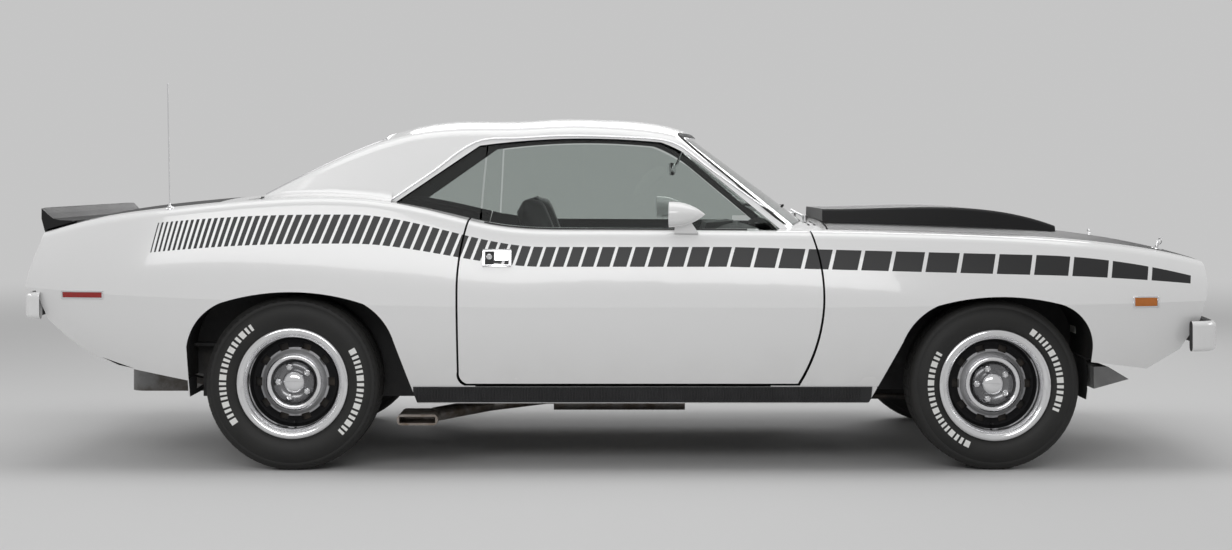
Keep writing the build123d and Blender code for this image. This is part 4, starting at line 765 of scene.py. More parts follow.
class Form:
    """A mesh under construction in the car's own frame, finished as one piece."""

    def __init__(self) -> None:
        """Starts empty."""
        self.mesh = bmesh.new()

    def add(self, points: Iterable[Point], faces: Iterable[Sequence[int]],
            place: Matrix | None = None) -> "Form":
        """Adds points and faces.

        Args:
            points: the points.
            faces: indices into the points.
            place: where their own frame stands.

        Returns:
            The form.
        """
        turn = place or Matrix.Identity(4)
        made = [self.mesh.verts.new(turn @ Vector(p)) for p in points]
        for face in faces:
            self.mesh.faces.new([made[i] for i in face])
        return self

    def loft(self, rings: Sequence[Sequence[Point]], loop: bool = False, capped: bool = True,
             place: Matrix | None = None) -> "Form":
        """Joins closed rings of as many points each.

        Args:
            rings: the rings, in order.
            loop: whether the last ring joins the first.
            capped: whether the end rings are filled.
            place: where their own frame stands.

        Returns:
            The form.
        """
        count = len(rings[0])
        points = [p for ring in rings for p in ring]
        faces: list[Sequence[int]] = []
        spans = len(rings) if loop else len(rings) - 1
        for k in range(spans):
            a, b = k * count, (k + 1) % len(rings) * count
            faces += [(a + i, a + (i + 1) % count, b + (i + 1) % count, b + i) for i in range(count)]
        if capped and not loop:
            faces.append(tuple(reversed(range(count))))
            faces.append(tuple(range((len(rings) - 1) * count, len(rings) * count)))
        return self.add(points, faces, place)

    def lathe(self, profile: Sequence[tuple[float, float]], place: Matrix | None = None, steps: int = 48,
              closed: bool = False) -> "Form":
        """Turns a profile round its own Z.

        Args:
            profile: radius and height, in order. An open profile starts and ends on the axis or is left open.
            place: where its own frame stands.
            steps: segments round.
            closed: whether the profile is a closed ring.

        Returns:
            The form.
        """
        rings = []
        for k in range(steps):
            angle = 2.0 * math.pi * k / steps
            rings.append([(r * math.cos(angle), r * math.sin(angle), h) for r, h in profile])
        count = len(profile)
        points = [p for ring in rings for p in ring]
        faces = []
        for k in range(steps):
            a, b = k * count, (k + 1) % steps * count
            for i in range(count if closed else count - 1):
                faces.append((a + i, b + i, b + (i + 1) % count, a + (i + 1) % count))
        return self.add(points, faces, place)

    def tube(self, path: Sequence[Point], radius: float | Sequence[float], sides: int = 10) -> "Form":
        """A round bar along a path.

        Args:
            path: its centre line.
            radius: one radius, or one for each point.
            sides: faces round it.

        Returns:
            The form.
        """
        radii = [radius] * len(path) if isinstance(radius, (int, float)) else list(radius)
        turns = [2 * math.pi * k / sides for k in range(sides)]
        circle = [(math.cos(turn), math.sin(turn)) for turn in turns]
        profiles = [[(r * c, r * s) for c, s in circle] for r in radii]
        return self.sweep(path, profiles)

    def sweep(self, path: Sequence[Point], profiles: Sequence[Sequence[tuple[float, float]]],
              ups: Sequence[Point] | None = None, loop: bool = False) -> "Form":
        """Carries a profile along a path.

        Args:
            path: the points that it follows.
            profiles: one profile for each point, across and up.
            ups: the profile's second axis at each point; without them it is carried without twist.
            loop: whether the path is closed.

        Returns:
            The form.
        """
        spots = [Vector(p) for p in path]
        count = len(spots)
        rings = []
        across = None
        for k, spot in enumerate(spots):
            before = spots[k - 1] if k > 0 or loop else spot
            after = spots[(k + 1) % count] if k < count - 1 or loop else spot
            ahead = (after - before).normalized()
            if ups is not None:
                up = Vector(ups[k])
            elif across is None:
                up = Vector((0.0, 0.0, 1.0)) if abs(ahead.z) < 0.9 else Vector((1.0, 0.0, 0.0))
            else:
                up = ahead.cross(across)
                up = -up if up.dot(last_up) < 0 else up
            across = ahead.cross(up).normalized()
            up = across.cross(ahead).normalized()
            last_up = up
            rings.append([spot + across * a + up * b for a, b in profiles[k]])
        return self.loft(rings, loop=loop, capped=not loop)

    def block(self, low: Point, high: Point, place: Matrix | None = None) -> "Form":
        """A box between two corners."""
        (x0, y0, z0), (x1, y1, z1) = low, high
        bottom = [(x0, y0, z0), (x1, y0, z0), (x1, y1, z0), (x0, y1, z0)]
        top = [(x, y, z1) for x, y, _ in bottom]
        return self.loft([bottom, top], place=place)

    def prism(self, outline: Sequence[tuple[float, float]], low: float, high: float,
              place: Matrix | None = None) -> "Form":
        """A flat outline given thickness along its own Z."""
        return self.loft([[(x, y, h) for x, y in outline] for h in (low, high)], place=place)

    def plate(self, skin: Skin, rows: Sequence[Sequence[Point]], direction: Point, lift: float,
              sink: float = 0.002) -> "Form":
        """A thin plate that lies on a skin: a grid of points is dropped on it, raised and given edges.

        Args:
            skin: what it lies on.
            rows: a grid of points clear of the skin.
            direction: the way that they drop.
            lift: how far the plate's face stands over the skin.
            sink: how far its back goes under.

        Returns:
            The form, unchanged where a point misses the skin.
        """
        down = Vector(direction).normalized()
        hits = [[skin.hit(p, direction) for p in row] for row in rows]
        if any(h is None for row in hits for h in row):
            return self
        wide, deep = len(rows[0]), len(rows)
        top = [h[0] - down * lift for row in hits for h in row]
        back = [h[0] + down * sink for row in hits for h in row]
        faces = [(r * wide + c, r * wide + c + 1, (r + 1) * wide + c + 1, (r + 1) * wide + c)
                 for r in range(deep - 1) for c in range(wide - 1)]
        size = wide * deep
        under = [tuple(size + i for i in reversed(f)) for f in faces]
        rim = [*range(wide), *(r * wide + wide - 1 for r in range(1, deep)),
               *((deep - 1) * wide + c for c in range(wide - 2, -1, -1)),
               *(r * wide for r in range(deep - 2, 0, -1))]
        walls = [(after, here, size + here, size + after) for here, after in zip(rim, rim[1:] + rim[:1])]
        return self.add(top + back, faces + under + walls)

    def mesh_data(self, name: str) -> bpy.types.Mesh:
        """The finished mesh: doubles merged, faces outwards."""
        bmesh.ops.remove_doubles(self.mesh, verts=self.mesh.verts, dist=1e-6)
        bmesh.ops.dissolve_degenerate(self.mesh, edges=self.mesh.edges, dist=1e-7)
        bmesh.ops.recalc_face_normals(self.mesh, faces=self.mesh.faces)
        data = bpy.data.meshes.new(name)
        self.mesh.to_mesh(data)
        self.mesh.free()
        return data

    def piece(self, name: str, body: str, finish: Any, smooth: float = 32.0, bevel: float = 0.0,
              slot: str = "") -> bpy.types.Object:
        """Finishes the form as a piece of the car.

        Args:
            name: the piece's name.
            body: the body it rides on.
            finish: what it is made of.
            smooth: edges sharper than this many degrees stay sharp.
            bevel: width of the rounded edges, in metres.
            slot: the record's material slot, where it isn't the finish's usual one.

        Returns:
            The piece.
        """
        return dress(name, self.mesh_data(name), body, finish, smooth, bevel, slot)


def dress(name: str, data: bpy.types.Mesh, body: str, finish: Any, smooth: float = 32.0, bevel: float = 0.0,
          slot: str = "") -> bpy.types.Object:
    """Makes a mesh a piece of the car: smooth shading, rounded edges, finish and body.

    Args:
        name: the piece's name.
        data: its mesh.
        body: the body it rides on.
        finish: what it is made of.
        smooth: edges sharper than this many degrees stay sharp.
        bevel: width of the rounded edges, in metres.
        slot: the record's material slot, where it isn't the finish's usual one; it is not used.

    Returns:
        The piece.
    """
    data.shade_smooth()
    data.set_sharp_from_angle(angle=math.radians(smooth))
    data.materials.clear()
    data.materials.append(BOX.get(finish))
    piece = bpy.data.objects.new(name, data)
    bpy.context.scene.collection.objects.link(piece)
    if bevel:
        rounding = piece.modifiers.new("edges", "BEVEL")
        rounding.width = bevel
        rounding.segments = 2
        rounding.limit_method = "ANGLE"
        rounding.angle_limit = math.radians(max(smooth, 30.0))
    slot = slot or finish.slot
    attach(piece, body)
    log.info("piece %s on %s: %d faces", name, body, len(data.polygons))
    return piece


# ------------------------------------------------------------------ arrangements by geometry nodes
class Arrangement:
    """A geometry node tree with named sizes, which repeats a small shape and ends in plain faces."""

    def __init__(self, name: str) -> None:
        """Starts a tree with a geometry output and a finish."""
        self.tree = bpy.data.node_groups.new(name, "GeometryNodeTree")
        self.tree.interface.new_socket("Geometry", in_out="OUTPUT", socket_type="NodeSocketGeometry")
        self.entry = self.tree.nodes.new("NodeGroupInput")
        self.exit = self.tree.nodes.new("NodeGroupOutput")
        self.finish = self.size("Finish", "Material")

    def size(self, name: str, kind: str) -> bpy.types.NodeSocket:
        """Adds a named input.

        Args:
            name: its name.
            kind: Float, Int, Vector, Object or Material.

        Returns:
            The socket inside the tree.
        """
        self.tree.interface.new_socket(name, in_out="INPUT", socket_type=f"NodeSocket{kind}")
        return self.entry.outputs[name]

    def add(self, kind: str, settings: dict[str, Any] | None = None,
            inputs: dict[int | str, Any] | None = None) -> bpy.types.Node:
        """Adds a node.

        Args:
            kind: its type, without the GeometryNode prefix unless it is a shared maths node.
            settings: its properties, set first.
            inputs: values or sockets for its inputs.

        Returns:
            The node.
        """
        node = self.tree.nodes.new(kind if kind.startswith(("Shader", "Function")) else f"GeometryNode{kind}")
        for key, value in (settings or {}).items():
            setattr(node, key, value)
        for key, value in (inputs or {}).items():
            if isinstance(value, bpy.types.NodeSocket):
                self.tree.links.new(value, node.inputs[key])
            else:
                node.inputs[key].default_value = value
        return node

    def sizes(self, **kinds: str) -> list[bpy.types.NodeSocket]:
        """Adds several named inputs, each given as its name and kind."""
        return [self.size(name, kind) for name, kind in kinds.items()]

    def flow(self, kind: str, settings: dict[str, Any] | None = None, **inputs: Any) -> bpy.types.NodeSocket:
        """Adds a node and gives its first output.

        Args:
            kind: its type, as for add.
            settings: its properties.
            inputs: values or sockets for its inputs, named with underscores for spaces.

        Returns:
            The output.
        """
        return self.add(kind, settings,
                        {key.replace("_", " "): value for key, value in inputs.items()}).outputs[0]

    def vector(self, **parts: Any) -> bpy.types.NodeSocket:
        """A vector from its X, Y or Z."""
        return self.flow("ShaderNodeCombineXYZ", None, **parts)

    def shape_of(self, source: bpy.types.NodeSocket) -> bpy.types.NodeSocket:
        """The geometry of an object input."""
        return self.add("ObjectInfo", {"transform_space": "ORIGINAL"}, {"Object": source}).outputs["Geometry"]

    def maths(self, operation: str, *operands: Any) -> bpy.types.NodeSocket:
        """The result of one Math node."""
        return self.add("ShaderNodeMath", {"operation": operation}, dict(enumerate(operands))).outputs[0]

    def close(self, geometry: bpy.types.NodeSocket) -> "Arrangement":
        """Ends the tree: instances realized and the finish set."""
        real = self.flow("RealizeInstances", Geometry=geometry)
        done = self.flow("SetMaterial", Geometry=real, Material=self.finish)
        self.tree.links.new(done, self.exit.inputs[0])
        return self

    def mesh(self, name: str, finish: Any, **values: Any) -> bpy.types.Mesh:
        """Runs the tree once.

        Args:
            name: the mesh's name.
            finish: what it is made of.
            values: the named inputs, with underscores for spaces.

        Returns:
            A plain mesh.
        """
        host = bpy.data.objects.new(name, bpy.data.meshes.new(name))
        bpy.context.scene.collection.objects.link(host)
        modifier = host.modifiers.new("arrangement", "NODES")
        modifier.node_group = self.tree
        given = {"Finish": BOX.get(finish), **{key.replace("_", " "): value for key, value in values.items()}}
        for item in self.tree.interface.items_tree:
            if item.in_out == "INPUT":
                modifier[item.identifier] = given[item.name]
        graph = bpy.context.evaluated_depsgraph_get()
        data = bpy.data.meshes.new_from_object(host.evaluated_get(graph), depsgraph=graph)
        host.modifiers.clear()
        bpy.data.objects.remove(host)
        return data


def ring_arrangement() -> Arrangement:
    """A small shape repeated round a circle, its own X pointing outwards."""
    made = Arrangement("round_a_circle")
    count, radius, start, shape, centre, turn = made.sizes(Count="Int", Radius="Float", Start="Float",
                                                           Shape="Object", Centre="Vector", Turn="Vector")
    circle = made.flow("MeshCircle", Vertices=count, Radius=radius)
    index = made.flow("InputIndex")
    angle = made.maths("MULTIPLY", made.maths("DIVIDE", index, count), 2.0 * math.pi)
    turned = made.vector(Z=angle)
    spread = made.flow("InstanceOnPoints", Points=circle, Instance=made.shape_of(shape), Rotation=turned)
    spread = made.flow("Transform", Geometry=spread, Rotation=made.vector(Z=start))
    return made.close(made.flow("Transform", Geometry=spread, Translation=centre, Rotation=turn))


def row_arrangement() -> Arrangement:
    """A small shape repeated along a straight row."""
    made = Arrangement("along_a_row")
    count, start, step, shape = made.sizes(Count="Int", From="Vector", Step="Vector", Shape="Object")
    line = made.flow("MeshLine", {"mode": "OFFSET"}, Count=count, Start_Location=start, Offset=step)
    return made.close(made.flow("InstanceOnPoints", Points=line, Instance=made.shape_of(shape)))


def rib_arrangement() -> Arrangement:
    """Upright half round ribs side by side, each dropped sideways on a panel's face."""
    made = Arrangement("ribs_on_a_panel")
    panel, count, start, pitch, height, inwards, radius = made.sizes(
        Panel="Object", Count="Int", From="Vector", Pitch="Float", Height="Float", Inwards="Float",
        Radius="Float")
    step = made.vector(X=pitch)
    line = made.flow("MeshLine", {"mode": "OFFSET"}, Count=count, Start_Location=start, Offset=step)
    upright = made.flow("CurvePrimitiveLine", End=made.vector(Z=height))
    upright = made.flow("ResampleCurve", Curve=upright, Count=4)
    spread = made.flow("RealizeInstances",
                       Geometry=made.flow("InstanceOnPoints", Points=line, Instance=upright))
    ray = made.add("Raycast", None, {"Target Geometry": made.shape_of(panel),
                                     "Ray Direction": made.vector(Y=inwards), "Ray Length": 0.6})
    missed = made.add("FunctionNodeBooleanMath", {"operation": "NOT"}, {0: ray.outputs["Is Hit"]}).outputs[0]
    spread = made.flow("DeleteGeometry", {"domain": "POINT"}, Geometry=spread, Selection=missed)
    spread = made.flow("SetPosition", Geometry=spread, Position=ray.outputs["Hit Position"])
    circle = made.flow("CurvePrimitiveCircle", {"mode": "RADIUS"}, Resolution=6, Radius=radius)
    return made.close(made.flow("CurveToMesh", Curve=spread, Profile_Curve=circle, Fill_Caps=True))


def template(name: str, form: Form) -> bpy.types.Object:
    """A small shape for an arrangement, kept out of the scene's own pieces."""
    return bpy.data.objects.new(name, form.mesh_data(name))


RING = ring_arrangement()
ROW = row_arrangement()
RIBS = rib_arrangement()


# ------------------------------------------------------------------ wheels
MARK_ARCS = {End.REAR: ((math.radians(170.0), 12), (math.radians(-7.5), 10)),
             End.FRONT: ((math.radians(198.0), 12), (math.radians(17.0), 10))}
MARK_RADII = {End.REAR: (0.255, 0.282), End.FRONT: (0.240, 0.265)}


@dataclass
class Wheel:
    """What a wheel carries over its solid rim and tyre: tread, white marks, nuts, cap and valve."""

    end: End
    side: Side
    tread_pitches: int = 60
    nut_count: int = 5
    nut_circle: float = 0.062
    mark_gap: float = 0.0085

    def __post_init__(self) -> None:
        """Reads the wheel's place from its solid tyre."""
        self.tag = f"{self.end.value}_{self.side.word}"
        self.body = f"wheel_{self.tag}"
        (x0, y0, z0), (x1, y1, z1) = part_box(f"tyre_{self.tag}")
        self.centre = ((x0 + x1) / 2, (y0 + y1) / 2, (z0 + z1) / 2)
        self.radius = (z1 - z0) / 2
        self.half = (y1 - y0) / 2
        self.mark_low, self.mark_high = MARK_RADII[self.end]
        self.rubber = TyreRubber(f"tyre_rubber_{self.tag}", self.centre, self.radius, self.mark_low,
                                 self.mark_high)
        self.place = axes_matrix(self.centre, (0.0, self.side.value, 0.0))

    def build(self) -> None:
        """Builds the wheel's pieces and finishes its nodes."""
        paint_node(f"rim_{self.tag}", WheelSilver(f"wheel_silver_{self.tag}", self.centre))
        paint_node(f"tyre_{self.tag}", self.rubber)
        self.tread()
        self.marks()
        self.brake_cover()
        self.trim_ring()
        self.dish()
        self.nuts()
        self.cap()
        self.valve()

    def tread(self) -> None:
        """Tread blocks: five skewed ribs and a lug on each shoulder, repeated round the tyre."""
        pitch = 2.0 * math.pi * self.radius / self.tread_pitches
        long = pitch * 0.40
        form = Form()
        crown = self.half - 0.034
        ribs = [(-0.98, -0.62, 0.0024), (-0.54, -0.22, 0.0009), (-0.14, 0.14, 0.0004), (0.22, 0.54, 0.0009),
                (0.62, 0.98, 0.0024)]
        for k, (low, high, sag) in enumerate(ribs):
            skew = 0.006 if k % 2 else -0.006
            outline = [(low * crown, -long - skew), (high * crown, -long + skew), (high * crown, long + skew),
                       (low * crown, long - skew)]
            rings = [[(h - sag, along, across) for across, along in outline] for h in (-0.004, 0.0016)]
            form.loft(rings)
        for sign in (1, -1):
            section = [(-0.006, crown + 0.004), (-0.0035, crown + 0.004), (-0.0075, crown + 0.014),
                       (-0.0185, crown + 0.0225), (-0.022, crown + 0.018)]
            ends = (-long * 0.8, long * 0.8)
            rings = [[(h, along, sign * across) for h, across in section] for along in ends]
            form.loft(rings)
        shape = template("tread_pitch", form)
        data = RING.mesh(f"tread_{self.tag}", self.rubber,
                         Count=self.tread_pitches, Radius=self.radius, Start=0.0, Shape=shape,
                         Centre=self.place.translation, Turn=Vector(self.place.to_euler()))
        dress(f"tread_{self.tag}", data, self.body, self.rubber)

    def marks(self) -> None:
        """Two arcs of plain raised white blocks on the outer sidewall, with a fine ring under them."""
        skin = Skin(f"tyre_{self.tag}")
        form = Form()
        sizes = (0.030, 0.022, 0.034, 0.022, 0.030, 0.034, 0.022, 0.030)
        radius = (self.mark_low + self.mark_high) / 2
        for centre, count in MARK_ARCS[self.end]:
            widths = [sizes[k % len(sizes)] for k in range(count)]
            at = -(sum(widths) + self.mark_gap * (count - 1)) / 2
            for width in widths:
                self.block_mark(form, skin, centre + at / radius, centre + (at + width) / radius)
                at += width + self.mark_gap
        form.piece(f"sidewall_marks_{self.tag}", self.body, WHITE_MARK, 40.0)

    def block_mark(self, form: Form, skin: Skin, start: float, stop: float) -> None:
        """One raised block with a notch in it.

        Args:
            form: the form it goes to.
            skin: the tyre.
            start: its first angle.
            stop: its last angle.
        """
        y = self.centre[1] + self.side.value * 0.25
        spans = ((0.0, 0.36), (0.64, 1.0)) if abs(stop - start) * self.mark_low > 0.028 else ((0.0, 1.0),)
        for low, high in spans:
            rows = []
            for r in (self.mark_low, (self.mark_low + self.mark_high) / 2, self.mark_high):
                angles = [start + (stop - start) * (low + (high - low) * k / 3) for k in range(4)]
                rows.append([(self.centre[0] + r * math.cos(a), y, self.centre[2] + r * math.sin(a))
                             for a in angles])
            form.plate(skin, rows, (0.0, -self.side.value, 0.0), 0.0012)

    def brake_cover(self) -> None:
        """A dark disc close behind the rim's windows: partly the brake's cover, partly painted shade filling
        the windows.
        """
        profile = [(0.1200, -0.0060), (0.1630, -0.0060), (0.1630, 0.0040), (0.1200, 0.0040)]
        # partly painted shade: sized to the windows' radii and turning with the wheel
        form = Form().lathe(profile, self.place, steps=72, closed=True)
        form.piece(f"brake_cover_{self.tag}", self.body, CHASSIS, 30.0)

    def trim_ring(self) -> None:
        """The bright ring over the rim's lip, its outer edge lying on the tyre's bead."""
        profile = [(0.1905, 0.1000), (0.1905, 0.1100), (0.1975, 0.1148), (0.2040, 0.1172), (0.2110, 0.1165),
                   (0.2170, 0.1130), (0.2205, 0.1080), (0.2205, 0.0980)]
        form = Form().lathe(profile, self.place, steps=96)
        form.piece(f"trim_ring_{self.tag}", self.body, BRIGHT, 45.0)

    def dish(self) -> None:
        """The bright dished floor inside the raised ring, round the nuts."""
        profile = [(0.0470, 0.0340), (0.0470, 0.0364), (0.0560, 0.0376), (0.0650, 0.0410), (0.0730, 0.0465),
                   (0.0790, 0.0535), (0.0812, 0.0570), (0.0812, 0.0340)]
        form = Form().lathe(profile, self.place, steps=72)
        form.piece(f"wheel_dish_{self.tag}", self.body, DARK_CHROME, 45.0)

    def nuts(self) -> None:
        """Five acorn nuts."""
        flats = [(0.0125 * math.cos(math.pi * k / 3), 0.0125 * math.sin(math.pi * k / 3)) for k in range(6)]
        form = Form().prism(flats, 0.034, 0.0545)
        dome = [(0.0, 0.0665), (0.0045, 0.0655), (0.0085, 0.0620), (0.0100, 0.0565), (0.0100, 0.052),
                (0.0, 0.052)]
        form.lathe(dome, steps=14)
        start = 0.0 if self.side is Side.LEFT else math.pi / 5
        data = RING.mesh(f"wheel_nuts_{self.tag}", BRIGHT, Count=self.nut_count, Radius=self.nut_circle,
                         Start=start, Shape=template("acorn_nut", form), Centre=self.place.translation,
                         Turn=Vector(self.place.to_euler()))
        dress(f"wheel_nuts_{self.tag}", data, self.body, BRIGHT, 25.0)

    def cap(self) -> None:
        """The bright centre cap over the hub."""
        profile = [(0.0, 0.0765), (0.012, 0.0760), (0.024, 0.0742), (0.0335, 0.0705), (0.0395, 0.0655),
                   (0.0425, 0.0600), (0.0455, 0.0440), (0.0480, 0.0385), (0.0480, 0.0350), (0.0, 0.0350)]
        Form().lathe(profile, self.place).piece(f"centre_cap_{self.tag}", self.body, BRIGHT, 45.0)

    def valve(self) -> None:
        """The tyre valve through the rim."""
        foot = self.place @ Vector((0.0, -0.160, 0.030))
        tip = self.place @ Vector((0.0, -0.156, 0.062))
        form = Form().tube([foot, foot.lerp(tip, 0.7), foot.lerp(tip, 0.72), tip],
                           [0.0045, 0.004, 0.0028, 0.0028], 10)
        form.piece(f"valve_{self.tag}", self.body, RUBBER)


def paint_node(node: str, *finishes: Any) -> None:
    """Gives a solid node its finish.

    Args:
        node: the node.
        finishes: one for each of its material slots, or one for all.
    """
    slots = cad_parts[node].material_slots
    for k, slot in enumerate(slots):
        slot.material = BOX.get(finishes[min(k, len(finishes) - 1)])
    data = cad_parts[node].data
    if not data.has_custom_normals:
        data.shade_smooth()
    log.info("finish %s on node %s", finishes[0].name, node)


# ------------------------------------------------------------------ panels and what sits on them
NODE_FINISHES: dict[str, Any] = {
    "door_left": PAINT, "door_right": PAINT, "fender_left": PAINT, "fender_right": PAINT,
    "quarter_left": PAINT, "quarter_right": PAINT, "sill_left": PLAIN_WHITE, "sill_right": PLAIN_WHITE,
    "cowl": PLAIN_WHITE, "roof": BodyPaint("roof_paint", False, (0.030, 0.030, 0.031), 0.85),
    "front_bumper": PLAIN_WHITE, "rear_bumper": PLAIN_WHITE, "front_valance": PLAIN_WHITE,
    "rear_valance": PLAIN_WHITE, "filler_panel": PLAIN_WHITE, "mirror_left": POD_WHITE,
    "mirror_right": POD_WHITE, "hood": LID_BLACK, "deck_lid": LID_BLACK, "rear_spoiler": LID_BLACK,
    "tail_panel": LID_BLACK, "grille": LID_BLACK, "sill_mouldings": MOULDED, "chin_spoiler": GREY_PLASTIC,
    "windscreen": GLASS, "rear_window": GLASS, "quarter_glass": GLASS, "door_glass_left": GLASS,
    "door_glass_right": GLASS, "headlamps": HEADLAMP_GLASS, "tail_lamps": RED, "floor_pan": Underbody(),
    "boot_floor": Underbody(), "front_structure": Underbody(),
    "rear_axle": CHASSIS, "front_suspension": CHASSIS, "knuckle_left": CAST, "knuckle_right": CAST,
    "fuel_tank": DullMetal("tank_steel", (0.20, 0.20, 0.20), (0.10, 0.09, 0.08), 0.45, 0.8, 8.0),
    "radiator": CHASSIS, "engine": ENGINE, "exhaust": PIPE, "dashboard": TRIM_VINYL,
    "parcel_shelf": TRIM_VINYL, "steering_wheel": MOULDED, "front_seats": SEAT_VINYL, "rear_seat": SEAT_VINYL,
    "antenna": BRIGHT, "wipers": BRUSHED,
}


def finish_nodes() -> None:
    """Gives every solid node apart from the wheels its finish."""
    for node, finish in NODE_FINISHES.items():
        paint_node(node, finish)


@dataclass
class SideTrim:
    """Small pieces on one side of the body: door handle, marker lamps, moulding ribs, belt and drip rail."""

    side: Side
    handle_x: tuple[float, float] = (-0.557, -0.453)
    handle_z: tuple[float, float] = (0.800, 0.862)
    front_lamp: tuple[float, float, float, float] = (1.967, 2.068, 0.638, 0.682)
    rear_lamp: tuple[float, float, float, float] = (-2.199, -2.030, 0.672, 0.704)
    rib_pitch: float = 0.0125
    moulding: tuple[float, float, float, float] = (-0.818, 0.925, 0.270, 0.326)

    def build(self) -> None:
        """Builds the pieces."""
        self.door_handle()
        self.marker("front", self.front_lamp, f"fender_{self.side.word}", AMBER)
        self.marker("rear", self.rear_lamp, f"quarter_{self.side.word}", RED)
        self.moulding_ribs()
        self.drip_rail()
        self.belt_seal()
        self.door_key()

    def y(self, value: float) -> float:
        """A distance from the centre plane as a Y on this side."""
        return self.side.value * value

    def inwards(self) -> tuple[float, float, float]:
        """The direction from outside to the centre plane."""
        return (0.0, -float(self.side.value), 0.0)

    def sheet_rows(self, x0: float, x1: float, z0: float, z1: float, wide: int = 8, high: int = 4,
                   corner: float = 0.0) -> list[list[Point]]:
        """A grid of points in side view, clear of the body, with rounded corners.

        Args:
            x0: rear edge.
            x1: front edge.
            z0: lower edge.
            z1: upper edge.
            wide: points along.
            high: points up.
            corner: how much the end columns are drawn in.

        Returns:
            The rows of points.
        """
        rows = []
        for j in range(high):
            v = j / (high - 1)
            row = []
            for i in range(wide):
                u = i / (wide - 1)
                inset = corner if i in (0, wide - 1) else 0.0
                z = z0 + inset + (z1 - z0 - 2 * inset) * v
                row.append((x0 + (x1 - x0) * u, self.y(1.2), z))
            rows.append(row)
        return rows

    def marker(self, word: str, place: tuple[float, float, float, float], node: str, finish: Any) -> None:
        """A side marker lamp: bright frame and fluted lens.

        Args:
            word: front or rear.
            place: its rear and front X, and its lower and upper Z.
            node: the panel that it sits on.
            finish: the lens.
        """
        skin = Skin(node)
        x0, x1, z0, z1 = place
        edge = 0.0055
        frame_form = Form()
        for box in border(x0, x1, z0, z1, edge):
            frame_form.plate(skin, self.sheet_rows(*box, wide=6, high=3), self.inwards(), 0.0048)
        frame_form.piece(f"marker_frame_{word}_{self.side.word}", "root", BRIGHT, 30.0, 0.0012)
        lens = Form().plate(skin, self.sheet_rows(x0 + edge, x1 - edge, z0 + edge, z1 - edge, 10, 4),
                            self.inwards(), 0.0030)
        lens.piece(f"marker_lens_{word}_{self.side.word}", "root", finish, 30.0, 0.0008)

    def door_handle(self) -> None:
        """The flush door handle: bright frame, dark backing and paddle."""
        skin = Skin(f"door_{self.side.word}")
        body = f"door_{self.side.word}"
        (x0, x1), (z0, z1) = self.handle_x, self.handle_z
        edge = 0.005
        bezel = Form()
        for box in border(x0, x1, z0, z1, edge, 0.003):
            bezel.plate(skin, self.sheet_rows(*box, wide=4, high=3), self.inwards(), 0.0060, 0.012)
        bezel.piece(f"handle_frame_{self.side.word}", body, BRIGHT, 30.0, 0.0012)
        split = x0 + 0.040
        back = Form().plate(skin, self.sheet_rows(x0 + edge, split, z0 + edge, z1 - edge, 4, 4),
                            self.inwards(), 0.0030)
        back.piece(f"handle_backing_{self.side.word}", body, MOULDED)
        paddle = Form().plate(skin, self.sheet_rows(split + 0.002, x1 - edge - 0.001, z0 + 0.020,
                                                    z1 - edge - 0.001, 6, 4),
                              self.inwards(), 0.0075)
        paddle.piece(f"handle_paddle_{self.side.word}", body, BRIGHT, 30.0, 0.002)

    def door_key(self) -> None:
        """The lock barrel in the handle's backing."""
        skin = Skin(f"door_{self.side.word}")
        x, z = self.handle_x[0] + 0.022, (self.handle_z[0] + self.handle_z[1]) / 2 + 0.004
        found = skin.hit((x, self.y(1.2), z), self.inwards())
        if found is None:
            return
        place = axes_matrix(found[0], (0.0, float(self.side.value), 0.0))
        profile = [(0.0, 0.0052), (0.0045, 0.0052), (0.0048, 0.0062), (0.0100, 0.0062), (0.0112, 0.0052),
                   (0.0112, -0.002), (0.0, -0.002)]
        form = Form().lathe(profile, place, 28)
        form.block((-0.0008, -0.004, 0.0046), (0.0008, 0.004, 0.0056), place)
        form.piece(f"door_lock_{self.side.word}", f"door_{self.side.word}", BRIGHT, 35.0)

    def moulding_ribs(self) -> None:
        """The sill moulding's fine upright ribs."""
        x0, x1, z0, z1 = self.moulding
        count = int((x1 - x0) / self.rib_pitch)
        panel = bpy.data.objects.new("moulding_copy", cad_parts["sill_mouldings"].data.copy())
        start = Vector((x0, self.y(1.2), z0))
        data = RIBS.mesh(f"moulding_ribs_{self.side.word}", MOULDED, Panel=panel, Count=count, From=start,
                         Pitch=self.rib_pitch, Height=z1 - z0, Inwards=-float(self.side.value), Radius=0.0026)
        dress(f"moulding_ribs_{self.side.word}", data, "root", MOULDED, 50.0, slot="black_moulding")

    def drip_rail(self) -> None:
        """The bright rail along the roof over the side windows and down the front pillar."""
        points = ((-0.960, 1.036), (-0.780, 1.160), (-0.604, 1.284), (-0.420, 1.301), (-0.230, 1.310),
                  (0.000, 1.304), (0.141, 1.294), (0.215, 1.270), (0.268, 1.232), (0.330, 1.182),
                  (0.430, 1.110), (0.560, 1.016))
        path = [(x, self.y(1.0), z) for x, z in smooth_path(points, 5)]
        form = laid_strip(path, Skin("roof"), self.inwards(), 0.010, 0.0062)
        form.piece(f"drip_rail_{self.side.word}", "root", BRIGHT, 50.0)

    def belt_seal(self) -> None:
        """The rubber sweep between door skin and glass."""
        skin = Skin(f"door_{self.side.word}")
        path = [(-0.560 + 0.0265 * k, self.y(0.812), 1.2) for k in range(40)]
        form = laid_strip(path, skin, DOWN, 0.012, 0.005)
        form.piece(f"belt_seal_{self.side.word}", f"door_{self.side.word}", RUBBER, 50.0)


